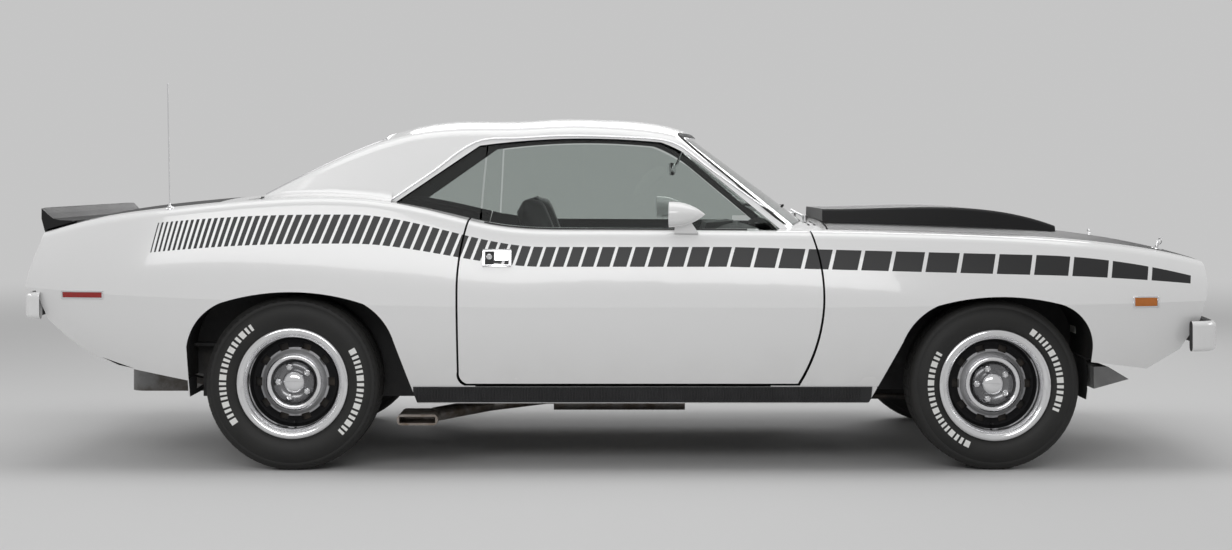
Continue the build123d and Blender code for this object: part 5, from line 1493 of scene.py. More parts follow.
def border(x0: float, x1: float, z0: float, z1: float, edge: float,
           over: float = 0.0) -> list[Sequence[float]]:
    """The four strips of an oblong frame: upper, lower, and the two ends between them.

    Args:
        x0: first edge along.
        x1: second edge along.
        z0: lower edge.
        z1: upper edge.
        edge: the strips' width inside the edges.
        over: how far they reach outside.

    Returns:
        The edges of each strip, in the same order.
    """
    return [(x0 - over, x1 + over, z1 - edge, z1 + over), (x0 - over, x1 + over, z0 - over, z0 + edge),
            (x0 - over, x0 + edge, z0 + edge, z1 - edge), (x1 - edge, x1 + over, z0 + edge, z1 - edge)]


def smooth_path(points: Sequence[tuple[float, float]], between: int) -> list[tuple[float, float]]:
    """Points on a smooth curve through a few.

    Args:
        points: the points that it passes through.
        between: points on each span.

    Returns:
        The curve's points.
    """
    path = []
    last = len(points) - 1
    for k in range(last):
        a, b, c, d = points[max(k - 1, 0)], points[k], points[k + 1], points[min(k + 2, last)]
        for i in range(between):
            t = i / between
            weights = (-0.5 * t + t * t - 0.5 * t**3, 1 - 2.5 * t * t + 1.5 * t**3,
                       0.5 * t + 2 * t * t - 1.5 * t**3, -0.5 * t * t + 0.5 * t**3)
            path.append(tuple(sum(w * p[axis] for w, p in zip(weights, (a, b, c, d))) for axis in range(2)))
    return path + [tuple(points[last])]


def laid_strip(path: Sequence[Point], skin: Skin, direction: Point, width: float, rise: float,
               loop: bool = False) -> Form:
    """A strip with a domed section, dropped on a skin along a path.

    Args:
        path: points clear of the skin.
        skin: what it lies on.
        direction: the way that the points drop.
        width: its width.
        rise: its height.
        loop: whether the path is closed.

    Returns:
        The form.
    """
    hits = [h for h in (skin.hit(p, direction) for p in path) if h is not None]
    form = Form()
    if len(hits) < 3:
        return form
    half = width / 2
    section = [(-half, -0.003), (half, -0.003), (half, rise * 0.35), (half * 0.62, rise * 0.85), (0.0, rise),
               (-half * 0.62, rise * 0.85), (-half, rise * 0.35)]
    normals = [h[1] for h in hits]
    eased = []
    for k in range(len(normals)):
        near = normals[max(k - 2, 0):k + 3]
        total = Vector((0.0, 0.0, 0.0))
        for normal in near:
            total += normal
        eased.append(total.normalized())
    return form.sweep([h[0] for h in hits], [section] * len(hits), eased, loop)


@dataclass
class Brightwork:
    """Bright trim round the windscreen and rear window, the hood pins and the wiper blades."""

    screen_foot: tuple[float, float] = (0.722, 0.958)
    screen_head: tuple[float, float] = (0.556, 1.318)
    rear_head: tuple[float, float] = (-0.975, 0.542)
    rear_foot: tuple[float, float] = (-1.452, 0.603)
    foot_half: float = 0.754
    sail_x: tuple[float, float] = (-0.930, -1.478)
    pin: tuple[float, float] = (2.150, 0.570)
    blade_left_y: float = 0.330
    blade_right_y: float = -0.180
    scoop_x: float = 1.790
    scoop_y: float = 0.060

    def build(self) -> None:
        """Builds the pieces."""
        self.windscreen_surround()
        self.rear_surround()
        self.window_foot()
        for side in Side:
            self.sail_foot(side)
            self.hood_pin(side)
            self.wiper_blade(side)
        self.scoops()

    def windscreen_surround(self) -> None:
        """The windscreen's black seal and the bright strip inboard of it, up, over the top and down."""
        self.screen_strip("windscreen_seal", RUBBER, 0.004, 0.030, 0.0045)
        self.screen_strip("windscreen_surround", BRIGHT, 0.030, 0.018, 0.0095)

    def screen_strip(self, name: str, finish: Any, inset: float, width: float, rise: float) -> None:
        """One strip round the windscreen.

        Args:
            name: the piece's name.
            finish: its finish.
            inset: how far it lies inboard of the opening's edge.
            width: its width.
            rise: its height.
        """
        (foot_y, foot_z), (head_y, head_z) = self.screen_foot, self.screen_head
        foot_y, head_y, head_z = foot_y - inset, head_y - inset, head_z - inset * 0.6
        lean = (foot_y - head_y) / (head_z - foot_z)
        climb = head_z - 0.075 - foot_z
        straight = [(foot_y - lean * climb * k / 14, foot_z + climb * k / 14) for k in range(15)]
        corner = smooth_path([straight[-1], (head_y + 0.004, head_z - 0.030),
                              (head_y - 0.026, head_z - 0.006), (head_y - 0.075, head_z)], 4)
        top = [((head_y - 0.075) * (1 - k / 14), head_z) for k in range(1, 15)]
        half = straight + corner[1:] + top
        path = [(2.2, -y, z) for y, z in half] + [(2.2, y, z) for y, z in reversed(half[:-1])]
        laid_strip(path, Skin("roof", "windscreen"), ASTERN, width, rise).piece(name, "root", finish, 50.0)

    def rear_surround(self) -> None:
        """The bright strip up both sides of the rear window and over its top."""
        (x0, y0), (x1, y1) = self.rear_head, self.rear_foot
        side = [(x1 + (x0 - 0.060 - x1) * k / 20, y1 + (y0 - y1) * (k / 20)) for k in range(21)]
        corner = smooth_path([side[-1], (x0 - 0.030, y0 - 0.005), (x0 - 0.008, y0 - 0.022), (x0, y0 - 0.055),
                              (x0, y0 - 0.090)], 5)
        top = [(x0, (y0 - 0.090) * (1 - k / 20)) for k in range(1, 21)]
        half = side + corner[1:] + top
        path = [(x, y, ABOVE) for x, y in half] + [(x, -y, ABOVE) for x, y in reversed(half[:-1])]
        form = laid_strip(path, Skin("roof"), DOWN, 0.015, 0.0045)
        form.piece("rear_window_surround", "root", BRIGHT, 50.0)

    def sail_foot(self, side: Side) -> None:
        """The body skin between the roof's sail and the rear quarter, flowing from one into the other.

        Args:
            side: the car's side.
        """
        roof, quarter = Skin("roof"), Skin(f"quarter_{side.word}")
        rings = []
        for k in range(33):
            x = self.sail_x[0] + (self.sail_x[1] - self.sail_x[0]) * k / 32
            edge = next((y for y in (0.760 - 0.002 * i for i in range(80))
                         if roof.under(x, side.value * y)), None)
            if edge is None:
                continue
            high = roof.under(x, side.value * (edge - 0.014))
            low = quarter.under(x, side.value * 0.776)
            if high is None or low is None:
                continue
            start, stop = high[0] + high[1] * 0.0012, low[0] + Vector((0.0, 0.0, 0.0012))
            slope = high[1].cross(Vector((1.0, 0.0, 0.0)))
            slope = slope if slope.z < 0 else -slope
            bend = start + slope * ((start.z - stop.z) / max(-slope.z, 0.2)) * 0.9
            bend.z = max(bend.z, stop.z)
            over = [start.lerp(bend, t).lerp(bend.lerp(stop, t), t) for t in (i / 9 for i in range(10))]
            under = [p - Vector((0.0, 0.0, 0.006)) for p in reversed(over)]
            rings.append(over + under)
        Form().loft(rings).piece(f"sail_foot_{side.word}", "root", PLAIN_WHITE, 40.0)

    def window_foot(self) -> None:
        """The body skin and bright strip under the rear window's lower edge, from sail to sail."""
        glass, panel = Skin("rear_window"), Skin("filler_panel")
        rings, edge = [], []
        for k in range(53):
            y = self.foot_half * (1.0 - k / 26)
            inner = min(max(y, -0.585), 0.585)
            back = panel.under(-1.500, y)
            front = glass.under(-1.452, inner)
            if back is None or front is None:
                continue
            rise, fall = front[0].z + 0.0008, back[0].z + 0.0010
            over = [(-1.505, y, fall), (-1.488, y, fall + 0.0015), (-1.470, y, (rise + fall) / 2),
                    (-1.452, y, rise)]
            rings.append(over + [(x, y, z - 0.005) for x, y, z in reversed(over)])
            if y == inner:
                edge.append((-1.456, y, rise - 0.0010))
        Form().loft(rings).piece("window_foot_skin", "root", PLAIN_WHITE, 40.0)
        section = [(-0.006, 0.0), (0.006, 0.0), (0.0045, 0.004), (0.0, 0.0055), (-0.0045, 0.004)]
        Form().sweep(edge, [section] * len(edge), [(0.3, 0.0, 1.0)] * len(edge)).piece(
            "rear_window_foot_strip", "root", BRIGHT, 50.0)

    def hood_pin(self, side: Side) -> None:
        """A hood pin: its scuff plate, the pin, and the bent spring clip through it."""
        x, y = self.pin
        found = Skin("hood").under(x, side.value * y, 1.3)
        if found is None:
            return
        place = axes_matrix(found[0], found[1], (0.0, 1.0, 0.0))
        form = Form().lathe([(0.0, 0.0022), (0.019, 0.0022), (0.021, 0.0012), (0.0215, -0.002),
                             (0.0, -0.002)], place, 32)
        form.lathe([(0.0, 0.034), (0.003, 0.0335), (0.0050, 0.031), (0.0055, 0.026), (0.0055, 0.0),
                    (0.0, 0.0)], place, 20)
        form.piece(f"hood_pin_{side.word}", "hood", BRIGHT, 35.0)
        arch = [(-0.030, 0.0, 0.007), (-0.006, 0.0, 0.0185), (0.0, 0.0, 0.0195), (0.012, 0.0, 0.0200),
                (0.034, 0.0, 0.022), (0.046, 0.0, 0.030), (0.048, 0.0, 0.042), (0.036, 0.0, 0.050),
                (0.014, 0.0, 0.046), (-0.004, 0.0, 0.040)]
        turn = place @ Matrix.Rotation(math.radians(90 if side is Side.LEFT else -90), 4, "Z")
        path = [turn @ Vector(p) for p in arch]
        Form().tube(path, 0.0016, 8).piece(f"hood_clip_{side.word}", "hood", BRUSHED, 60.0)

    def wiper_blade(self, side: Side) -> None:
        """A wiper blade with its rubber, laid on the windscreen along its arm."""
        y = self.blade_left_y if side is Side.LEFT else self.blade_right_y
        skin = Skin("windscreen", "cowl", "roof")
        path = [(1.100, y - 0.020 + 0.0215 * k, 1.020 - 0.0004 * k) for k in range(17)]
        form = laid_strip(path, skin, ASTERN, 0.009, 0.011)
        form.piece(f"wiper_blade_{side.word}", "root", RUBBER, 50.0)

    def scoops(self) -> None:
        """Dark plates on the hood, painted shade for the two air openings at the front of its raised centre.
        """
        skin = Skin("hood")
        for side in Side:
            form = Form()
            rows = [[(self.scoop_x - 0.020 * j, side.value * (self.scoop_y + 0.030 * i), 1.3)
                     for i in range(7)] for j in range(3)]
            # painted shade: a thin dark plate on the hood's top where an air opening lies in shade
            form.plate(skin, rows, DOWN, 0.0016)
            form.piece(f"scoop_shadow_{side.word}", "hood", MOULDED, 30.0)


# ------------------------------------------------------------------ padded pieces
class Station(NamedTuple):
    """One section of a pad: its place along, half width, half thickness and how far its edges rise."""

    along: float
    half_width: float
    half_thick: float
    bolster: float


FRONT_CUSHION = (Station(0.0, 0.185, 0.022, 0.0), Station(0.022, 0.215, 0.041, 0.012),
                 Station(0.12, 0.232, 0.046, 0.026), Station(0.34, 0.235, 0.046, 0.024),
                 Station(0.44, 0.230, 0.046, 0.014), Station(0.485, 0.215, 0.038, 0.004),
                 Station(0.503, 0.185, 0.018, 0.0))
FRONT_BACK = (Station(0.0, 0.185, 0.030, 0.0), Station(0.030, 0.222, 0.044, 0.010),
              Station(0.14, 0.230, 0.045, 0.022), Station(0.31, 0.224, 0.043, 0.020),
              Station(0.405, 0.178, 0.040, 0.010), Station(0.480, 0.146, 0.039, 0.002),
              Station(0.600, 0.134, 0.036, 0.0), Station(0.635, 0.105, 0.020, 0.0))


@dataclass
class Pad:
    """A stuffed seat part: a lofted core that is swollen as cloth, then sewn with channels."""

    name: str
    foot: Point
    along: Point
    face: Point
    stations: tuple[Station, ...]
    channel_pitch: float
    channel_span: tuple[float, float]
    channel_half: float
    voxel: float = 0.009
    pressure: float = 4.0
    travel: float = 0.024
    channel_depth: float = 0.0065
    channel_width: float = 0.0052

    def __post_init__(self) -> None:
        """Works out the pad's own axes."""
        self.ahead = Vector(self.along).normalized()
        self.up = (Vector(self.face) - self.ahead * Vector(self.face).dot(self.ahead)).normalized()
        self.across = self.ahead.cross(self.up)

    def ring(self, station: Station, points: int = 40) -> list[Point]:
        """One section as a rounded oblong with raised edges."""
        ring = []
        for k in range(points):
            angle = 2.0 * math.pi * k / points
            c, s = math.cos(angle), math.sin(angle)
            u = math.copysign(abs(c) ** 0.42, c)
            v = math.copysign(abs(s) ** 0.62, s)
            rise = station.bolster * abs(u) ** 5 if v > 0 else 0.0
            spot = (Vector(self.foot) + self.ahead * station.along + self.across * (u * station.half_width)
                    + self.up * (v * station.half_thick + rise))
            ring.append(tuple(spot))
        return ring

    def core(self) -> bpy.types.Object:
        """The lofted core, remeshed evenly."""
        data = Form().loft([self.ring(station) for station in self.stations]).mesh_data(self.name)
        core = bpy.data.objects.new(f"{self.name}_core", data)
        bpy.context.scene.collection.objects.link(core)
        remesh = core.modifiers.new("even", "REMESH")
        remesh.mode = "VOXEL"
        remesh.voxel_size = self.voxel
        easing = core.modifiers.new("eased", "SMOOTH")
        easing.iterations = 6
        self.freeze(core)
        return core

    def freeze(self, piece: bpy.types.Object) -> None:
        """Applies what modifiers a piece has."""
        graph = bpy.context.evaluated_depsgraph_get()
        data = bpy.data.meshes.new_from_object(piece.evaluated_get(graph), depsgraph=graph)
        piece.modifiers.clear()
        piece.data = data

    def swell(self, core: bpy.types.Object) -> None:
        """Blows the core up as cloth, with each point's way capped."""
        rest = [v.co.copy() for v in core.data.vertices]
        cloth = core.modifiers.new("stuffing", "CLOTH")
        cloth.settings.quality = 5
        cloth.settings.use_pressure = True
        cloth.settings.uniform_pressure_force = self.pressure
        cloth.settings.effector_weights.gravity = 0.0
        cloth.point_cache.frame_start, cloth.point_cache.frame_end = 1, 20
        for step in range(1, 21):
            bpy.context.scene.frame_set(step)
        self.freeze(core)
        bpy.context.scene.frame_set(1)
        for vertex, start in zip(core.data.vertices, rest):
            way = vertex.co - start
            if way.length > self.travel:
                vertex.co = start + way * (self.travel / way.length)

    def sew(self, core: bpy.types.Object) -> None:
        """Presses channels into the pad's face, running the way that its sections follow."""
        divide = core.modifiers.new("finer", "SUBSURF")
        divide.levels = divide.render_levels = 1
        self.freeze(core)
        normals = [v.normal.copy() for v in core.data.vertices]
        low, high = self.channel_span
        for vertex, normal in zip(core.data.vertices, normals):
            spot = vertex.co - Vector(self.foot)
            along, across = spot.dot(self.ahead), spot.dot(self.across)
            facing = min(max(normal.dot(self.up) * 2.0 - 0.6, 0.0), 1.0)
            if facing == 0.0 or abs(across) > self.channel_half + 0.02:
                continue
            inside = min(max((along - low) / 0.02, 0.0), 1.0) * min(max((high - along) / 0.02, 0.0), 1.0)
            inside *= min(max((self.channel_half + 0.006 - abs(across)) / 0.004, 0.0), 1.0)
            off = (across / self.channel_pitch + 0.5) % 1.0 - 0.5
            groove = math.exp(-((off * self.channel_pitch / self.channel_width) ** 2))
            hem = math.exp(-(((abs(across) - self.channel_half) / self.channel_width) ** 2))
            ends = sum(math.exp(-(((along - stop) / self.channel_width) ** 2)) for stop in (high, low))
            edge = min(ends, 1.0) * (1.0 if abs(across) < self.channel_half else 0.0)
            depth = max(groove * inside, hem * inside, edge)
            vertex.co -= normal * (self.channel_depth * depth * facing)

    def mesh(self) -> bpy.types.Mesh:
        """The finished cover.

        Returns:
            Its mesh, in the car's own frame.
        """
        core = self.core()
        self.swell(core)
        self.sew(core)
        data = core.data
        bpy.data.objects.remove(core)
        return data


def mirrored(data: bpy.types.Mesh, name: str) -> bpy.types.Mesh:
    """A mesh mirrored to the car's other side, its faces still outwards."""
    form = bmesh.new()
    form.from_mesh(data)
    for vertex in form.verts:
        vertex.co.y = -vertex.co.y
    bmesh.ops.reverse_faces(form, faces=form.faces)
    copy = bpy.data.meshes.new(name)
    form.to_mesh(copy)
    form.free()
    return copy


def cover(name: str, data: bpy.types.Mesh, node: str) -> bpy.types.Object:
    """A stuffed piece that stands for a solid node.

    Args:
        name: the piece's name.
        data: its mesh.
        node: the solid that it stands for.

    Returns:
        The piece.
    """
    piece = dress(name, data, "root", SEAT_VINYL, 60.0)
    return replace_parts(piece, node)


@dataclass
class FrontSeats:
    """The two high-back front seats: covers, hard backs, side discs and runners."""

    middle_y: float = 0.416
    runner_y: tuple[float, float] = (0.225, 0.545)
    runner_z: tuple[float, float] = (0.271, 0.402)
    cushion_foot: tuple[float, float] = (-0.318, 0.458)
    back_foot: tuple[float, float] = (-0.196, 0.478)
    back_head: tuple[float, float] = (-0.398, 1.030)

    def build(self) -> None:
        """Builds both seats, the right one mirrored from the left."""
        (bx, bz), (hx, hz) = self.back_foot, self.back_head
        cushion = Pad("seat_cushion", foot=(self.cushion_foot[0], self.middle_y, self.cushion_foot[1]),
                      along=(1.0, 0.0, 0.035), face=(0.0, 0.0, 1.0), stations=FRONT_CUSHION,
                      channel_pitch=0.047, channel_span=(0.075, 0.415), channel_half=0.165)
        back = Pad("seat_back", foot=(bx, self.middle_y, bz), along=(hx - bx, 0.0, hz - bz),
                   face=(hz - bz, 0.0, bx - hx), stations=FRONT_BACK,
                   channel_pitch=0.047, channel_span=(0.045, 0.360), channel_half=0.128)
        for pad, fill in ((cushion, 0.8), (back, 0.75)):
            data = pad.mesh()
            twin = mirrored(data, f"{pad.name}_right")
            cover(f"{pad.name}_left", data, "front_seats")
            cover(f"{pad.name}_right", twin, "front_seats")
        for side in Side:
            self.shell(side)
            self.hardware(side)

    def shell(self, side: Side) -> None:
        """The hard shell behind a seat back.

        Args:
            side: the seat's side.
        """
        (bx, bz), (hx, hz) = self.back_foot, self.back_head
        along = Vector((hx - bx, 0.0, hz - bz)).normalized()
        behind = Vector((-along.z, 0.0, along.x))
        form = Form()
        rings = []
        for step, half, out in ((0.02, 0.195, 0.050), (0.16, 0.205, 0.053), (0.30, 0.198, 0.050),
                                (0.40, 0.150, 0.046), (0.48, 0.118, 0.042), (0.545, 0.105, 0.034)):
            ring = []
            for u, v in ((-1.0, 0.006), (-0.94, 0.022), (-0.6, 0.031), (0.0, 0.034), (0.6, 0.031),
                         (0.94, 0.022), (1.0, 0.006), (0.6, -0.004), (0.0, -0.004), (-0.6, -0.004)):
                spot = (Vector((bx, side.value * self.middle_y, bz)) + along * step
                        + Vector((0.0, u * half, 0.0)) + behind * (out - 0.022 + v))
                ring.append(tuple(spot))
            rings.append(ring)
        form.loft(rings)
        piece = form.piece(f"seat_shell_{side.word}", "root", MOULDED, 40.0, 0.003)
        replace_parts(piece, "front_seats")

    def hardware(self, side: Side) -> None:
        """A seat's runners with the plate over them, and its hinge discs.

        Args:
            side: the seat's side.
        """
        (low, high) = self.runner_z
        form = Form()
        for y in self.runner_y:
            outer = sorted((side.value * y, side.value * (y + 0.040)))
            form.block((-0.280, outer[0], low), (0.140, outer[1], low + 0.022))
            form.block((-0.250, outer[0] + 0.008, low + 0.022), (0.110, outer[1] - 0.008, low + 0.040))
            for x in (-0.235, 0.085):
                form.block((x, outer[0] + 0.006, low + 0.036), (x + 0.030, outer[1] - 0.006, high))
        form.block((-0.270, side.value * self.middle_y - 0.200, high - 0.004),
                   (0.130, side.value * self.middle_y + 0.200, high + 0.010))
        runners = form.piece(f"seat_runners_{side.word}", "root", CHASSIS, 30.0, 0.002)
        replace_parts(runners, "front_seats")
        discs = Form()
        profile = [(0.0, 0.012), (0.016, 0.012), (0.024, 0.009), (0.028, 0.003), (0.028, -0.006),
                   (0.0, -0.006)]
        for way in (-1.0, 1.0):
            centre = (-0.222, side.value * self.middle_y + way * 0.236, 0.500)
            discs.lathe(profile, axes_matrix(centre, (0.0, way, 0.0)), 28)
        discs.piece(f"seat_hinge_discs_{side.word}", "root", BRUSHED, 40.0)


@dataclass
class RearSeat:
    """The rear bench: one long cushion and one sloping back."""

    half: float = 0.575

    def build(self) -> None:
        """Builds the bench."""
        half = self.half
        channels = {"channel_pitch": 0.052, "channel_half": half - 0.070, "channel_width": 0.0065}
        sizes = {"voxel": 0.012, "travel": 0.018}
        cushion = Pad("rear_cushion", foot=(-1.105, 0.0, 0.578), along=(1.0, 0.0, 0.03), face=(0.0, 0.0, 1.0),
                      stations=(Station(0.0, half - 0.03, 0.030, 0.0),
                                Station(0.02, half - 0.008, 0.048, 0.004), Station(0.10, half, 0.052, 0.010),
                                Station(0.28, half, 0.052, 0.008), Station(0.335, half - 0.006, 0.046, 0.002),
                                Station(0.360, half - 0.03, 0.026, 0.0)),
                      channel_span=(0.075, 0.290), **channels, **sizes)
        back = Pad("rear_back", foot=(-1.083, 0.0, 0.655), along=(-0.150, 0.0, 0.310),
                   face=(0.310, 0.0, 0.150),
                   stations=(Station(0.0, half - 0.03, 0.028, 0.0), Station(0.02, half - 0.008, 0.040, 0.002),
                             Station(0.12, half, 0.042, 0.006), Station(0.27, half - 0.02, 0.038, 0.004),
                             Station(0.325, half - 0.06, 0.030, 0.0),
                             Station(0.342, half - 0.09, 0.016, 0.0)),
                   channel_span=(0.050, 0.270), **channels, **sizes)
        for pad in (cushion, back):
            cover(pad.name, pad.mesh(), "rear_seat")


# ------------------------------------------------------------------ cabin
def disc_profile(radius: float, height: float, edge: float) -> list[tuple[float, float]]:
    """The profile of a low round knob or button, for turning on its own axis.

    Args:
        radius: its radius.
        height: how far it stands up.
        edge: the size of its eased edge.

    Returns:
        Radius and height pairs.
    """
    return [(0.0, height), (radius - edge, height), (radius - edge * 0.3, height - edge * 0.3),
            (radius, height - edge), (radius, 0.0), (0.0, 0.0)]


@dataclass
class Dashboard:
    """What the dashboard carries: dials, radio, glove box lid, vents, stalk and wheel pad."""

    cluster_top: tuple[float, float] = (0.352, 0.905)
    cluster_foot: tuple[float, float] = (0.388, 0.752)
    board_top: tuple[float, float] = (0.366, 0.880)
    board_foot: tuple[float, float] = (0.400, 0.740)
    driver_y: float = 0.370
    vent_y: tuple[float, float] = (-0.655, 0.668)
    column: tuple[float, float] = (0.560, 0.720)
    dial_places: tuple[tuple[float, float, float], ...] = (
        (0.088, 0.52, 0.052), (-0.052, 0.52, 0.052), (0.180, 0.74, 0.026), (0.180, 0.28, 0.026),
        (-0.140, 0.74, 0.026), (-0.140, 0.28, 0.026))

    def build(self) -> None:
        """Builds the pieces."""
        self.dials()
        self.radio()
        self.glove_box()
        self.vents()
        self.stalk()
        self.wheel_pad()

    def face_place(self, top: tuple[float, float], foot: tuple[float, float], y: float, up: float) -> Matrix:
        """A place on a slanting face of the dashboard, its Z pointing at the driver.

        Args:
            top: X and Z of the face's upper edge.
            foot: X and Z of its lower edge.
            y: where across the car.
            up: how far up the face, from 0 to 1.

        Returns:
            The place.
        """
        x, z = foot[0] + (top[0] - foot[0]) * up, foot[1] + (top[1] - foot[1]) * up
        rise = Vector((top[0] - foot[0], 0.0, top[1] - foot[1])).normalized()
        return axes_matrix((x, y, z), (-rise.z, 0.0, rise.x), tuple(rise))

    def dials(self) -> None:
        """Two large and four small round dials with bright bezels, dark faces, pointers and plain ticks."""
        bezels, faces, marks = Form(), Form(), Form()
        for offset, up, radius in self.dial_places:
            place = self.face_place(self.cluster_top, self.cluster_foot, self.driver_y + 0.02 + offset, up)
            bezels.lathe([(radius, 0.0), (radius, 0.006), (radius - 0.002, 0.009), (radius - 0.006, 0.006),
                          (radius - 0.007, 0.0)], place, 40, closed=True)
            face = [(0.0, 0.0022), (radius - 0.006, 0.0022), (radius - 0.006, 0.0), (0.0, 0.0)]
            faces.lathe(face, place, 32)
            ticks = 19 if radius > 0.04 else 7
            for k in range(ticks):
                angle = math.radians(225 - 270 * k / (ticks - 1))
                turn = place @ Matrix.Rotation(angle, 4, "Z")
                long = 0.10 if k % 2 else 0.18
                marks.block((radius * (0.80 - long), -0.0006, 0.0020), (radius * 0.80, 0.0006, 0.0028), turn)
            pointer = place @ Matrix.Rotation(math.radians(205), 4, "Z")
            marks.block((-radius * 0.15, -0.0008, 0.0030), (radius * 0.62, 0.0008, 0.0038), pointer)
        bezels.piece("dial_bezels", "root", BRIGHT, 40.0)
        faces.piece("dial_faces", "root", MOULDED, 40.0)
        marks.piece("dial_marks", "root", WHITE_MARK, 30.0, slot="black_trim")

    def radio(self) -> None:
        """The radio and heater controls amid the dashboard: plain fronts, knobs and push buttons."""
        fronts, knobs = Form(), Form()
        upper = self.face_place(self.board_top, self.board_foot, 0.0, 0.68)
        lower = self.face_place(self.board_top, self.board_foot, 0.0, 0.25)
        fronts.block((-0.100, -0.026, 0.0), (0.100, 0.026, 0.005), upper)
        fronts.block((-0.100, -0.020, 0.0), (0.100, 0.020, 0.004), lower)
        for x in (-0.082, 0.082):
            knobs.lathe(disc_profile(0.011, 0.018, 0.002), upper @ Matrix.Translation((x, 0.0, 0.005)), 20)
        for k in range(5):
            x = -0.048 + 0.024 * k
            knobs.block((x - 0.009, -0.018, 0.005), (x + 0.009, -0.008, 0.012), upper)
        for k in range(3):
            x = -0.050 + 0.050 * k
            knobs.block((x - 0.004, -0.006, 0.004), (x + 0.004, 0.006, 0.014), lower)
        fronts.piece("radio_fronts", "root", MOULDED, 30.0, 0.001)
        knobs.piece("radio_knobs", "root", BRIGHT, 40.0, 0.0008)

    def glove_box(self) -> None:
        """The glove box lid with its round latch."""
        place = self.face_place(self.board_top, self.board_foot, -self.driver_y, 0.46)
        lid = Form().block((-0.170, -0.052, 0.0), (0.170, 0.052, 0.006), place)
        lid.piece("glove_box_lid", "root", TRIM_VINYL, 30.0, 0.003)
        latch = Form().lathe(disc_profile(0.012, 0.012, 0.002),
                             place @ Matrix.Translation((0.0, 0.032, 0.006)), 24)
        latch.piece("glove_box_latch", "root", BRIGHT, 40.0)

    def vents(self) -> None:
        """Slatted air vents at the dashboard's ends."""
        slats, frames = Form(), Form()
        for y in self.vent_y:
            place = self.face_place(self.board_top, self.board_foot, y, 0.62)
            for left, low, right, high in ((-0.045, -0.030, 0.045, -0.026), (-0.045, 0.026, 0.045, 0.030),
                                           (-0.045, -0.026, -0.041, 0.026), (0.041, -0.026, 0.045, 0.026)):
                frames.block((left, low, 0.0), (right, high, 0.010), place)
            for k in range(6):
                level = -0.021 + 0.0084 * k
                slats.block((-0.041, level - 0.0010, 0.001), (0.041, level + 0.0010, 0.008), place)
        frames.piece("dash_vent_frames", "root", BRIGHT, 30.0, 0.0008)
        slats.piece("dash_vent_slats", "root", MOULDED, 30.0)

    def stalk(self) -> None:
        """The turn lamp stalk on the column."""
        start = Vector((0.330, self.driver_y + 0.020, 0.800))
        tip = Vector((0.300, self.driver_y + 0.165, 0.822))
        form = Form().tube([start, start.lerp(tip, 0.85), start.lerp(tip, 0.86), tip],
                           [0.004, 0.003, 0.0065, 0.006], 12)
        form.piece("turn_lamp_stalk", "root", BRIGHT, 40.0)

    def wheel_pad(self) -> None:
        """The steering wheel's horn pad and the bright spoke faces."""
        (x0, y0, z0), (x1, y1, z1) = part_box("steering_wheel")
        centre = ((x0 + x1) / 2, (y0 + y1) / 2, (z0 + z1) / 2)
        axis = (Vector(centre) - Vector((self.column[0], self.driver_y, self.column[1]))).normalized()
        place = axes_matrix(centre, tuple(axis))
        dome = [(0.0, 0.030), (0.030, 0.029), (0.046, 0.024), (0.054, 0.016), (0.054, 0.012), (0.0, 0.012)]
        Form().lathe(dome, place, 40).piece("horn_pad", "steering_wheel", MOULDED, 40.0)
        section = [(0.054, 0.010), (0.060, 0.012), (0.060, 0.016), (0.054, 0.018)]
        ring = Form().lathe(section, place, 40, closed=True)
        spokes = Form()
        for turn in (0, 90, 180):
            spin = place @ Matrix.Rotation(math.radians(turn - 90), 4, "Z")
            spokes.block((0.062, -0.011, 0.0032), (0.160, 0.011, 0.0052), spin)
        ring.piece("horn_ring", "steering_wheel", BRIGHT, 40.0)
        spokes.piece("wheel_spoke_faces", "steering_wheel", BRUSHED, 30.0, 0.001)


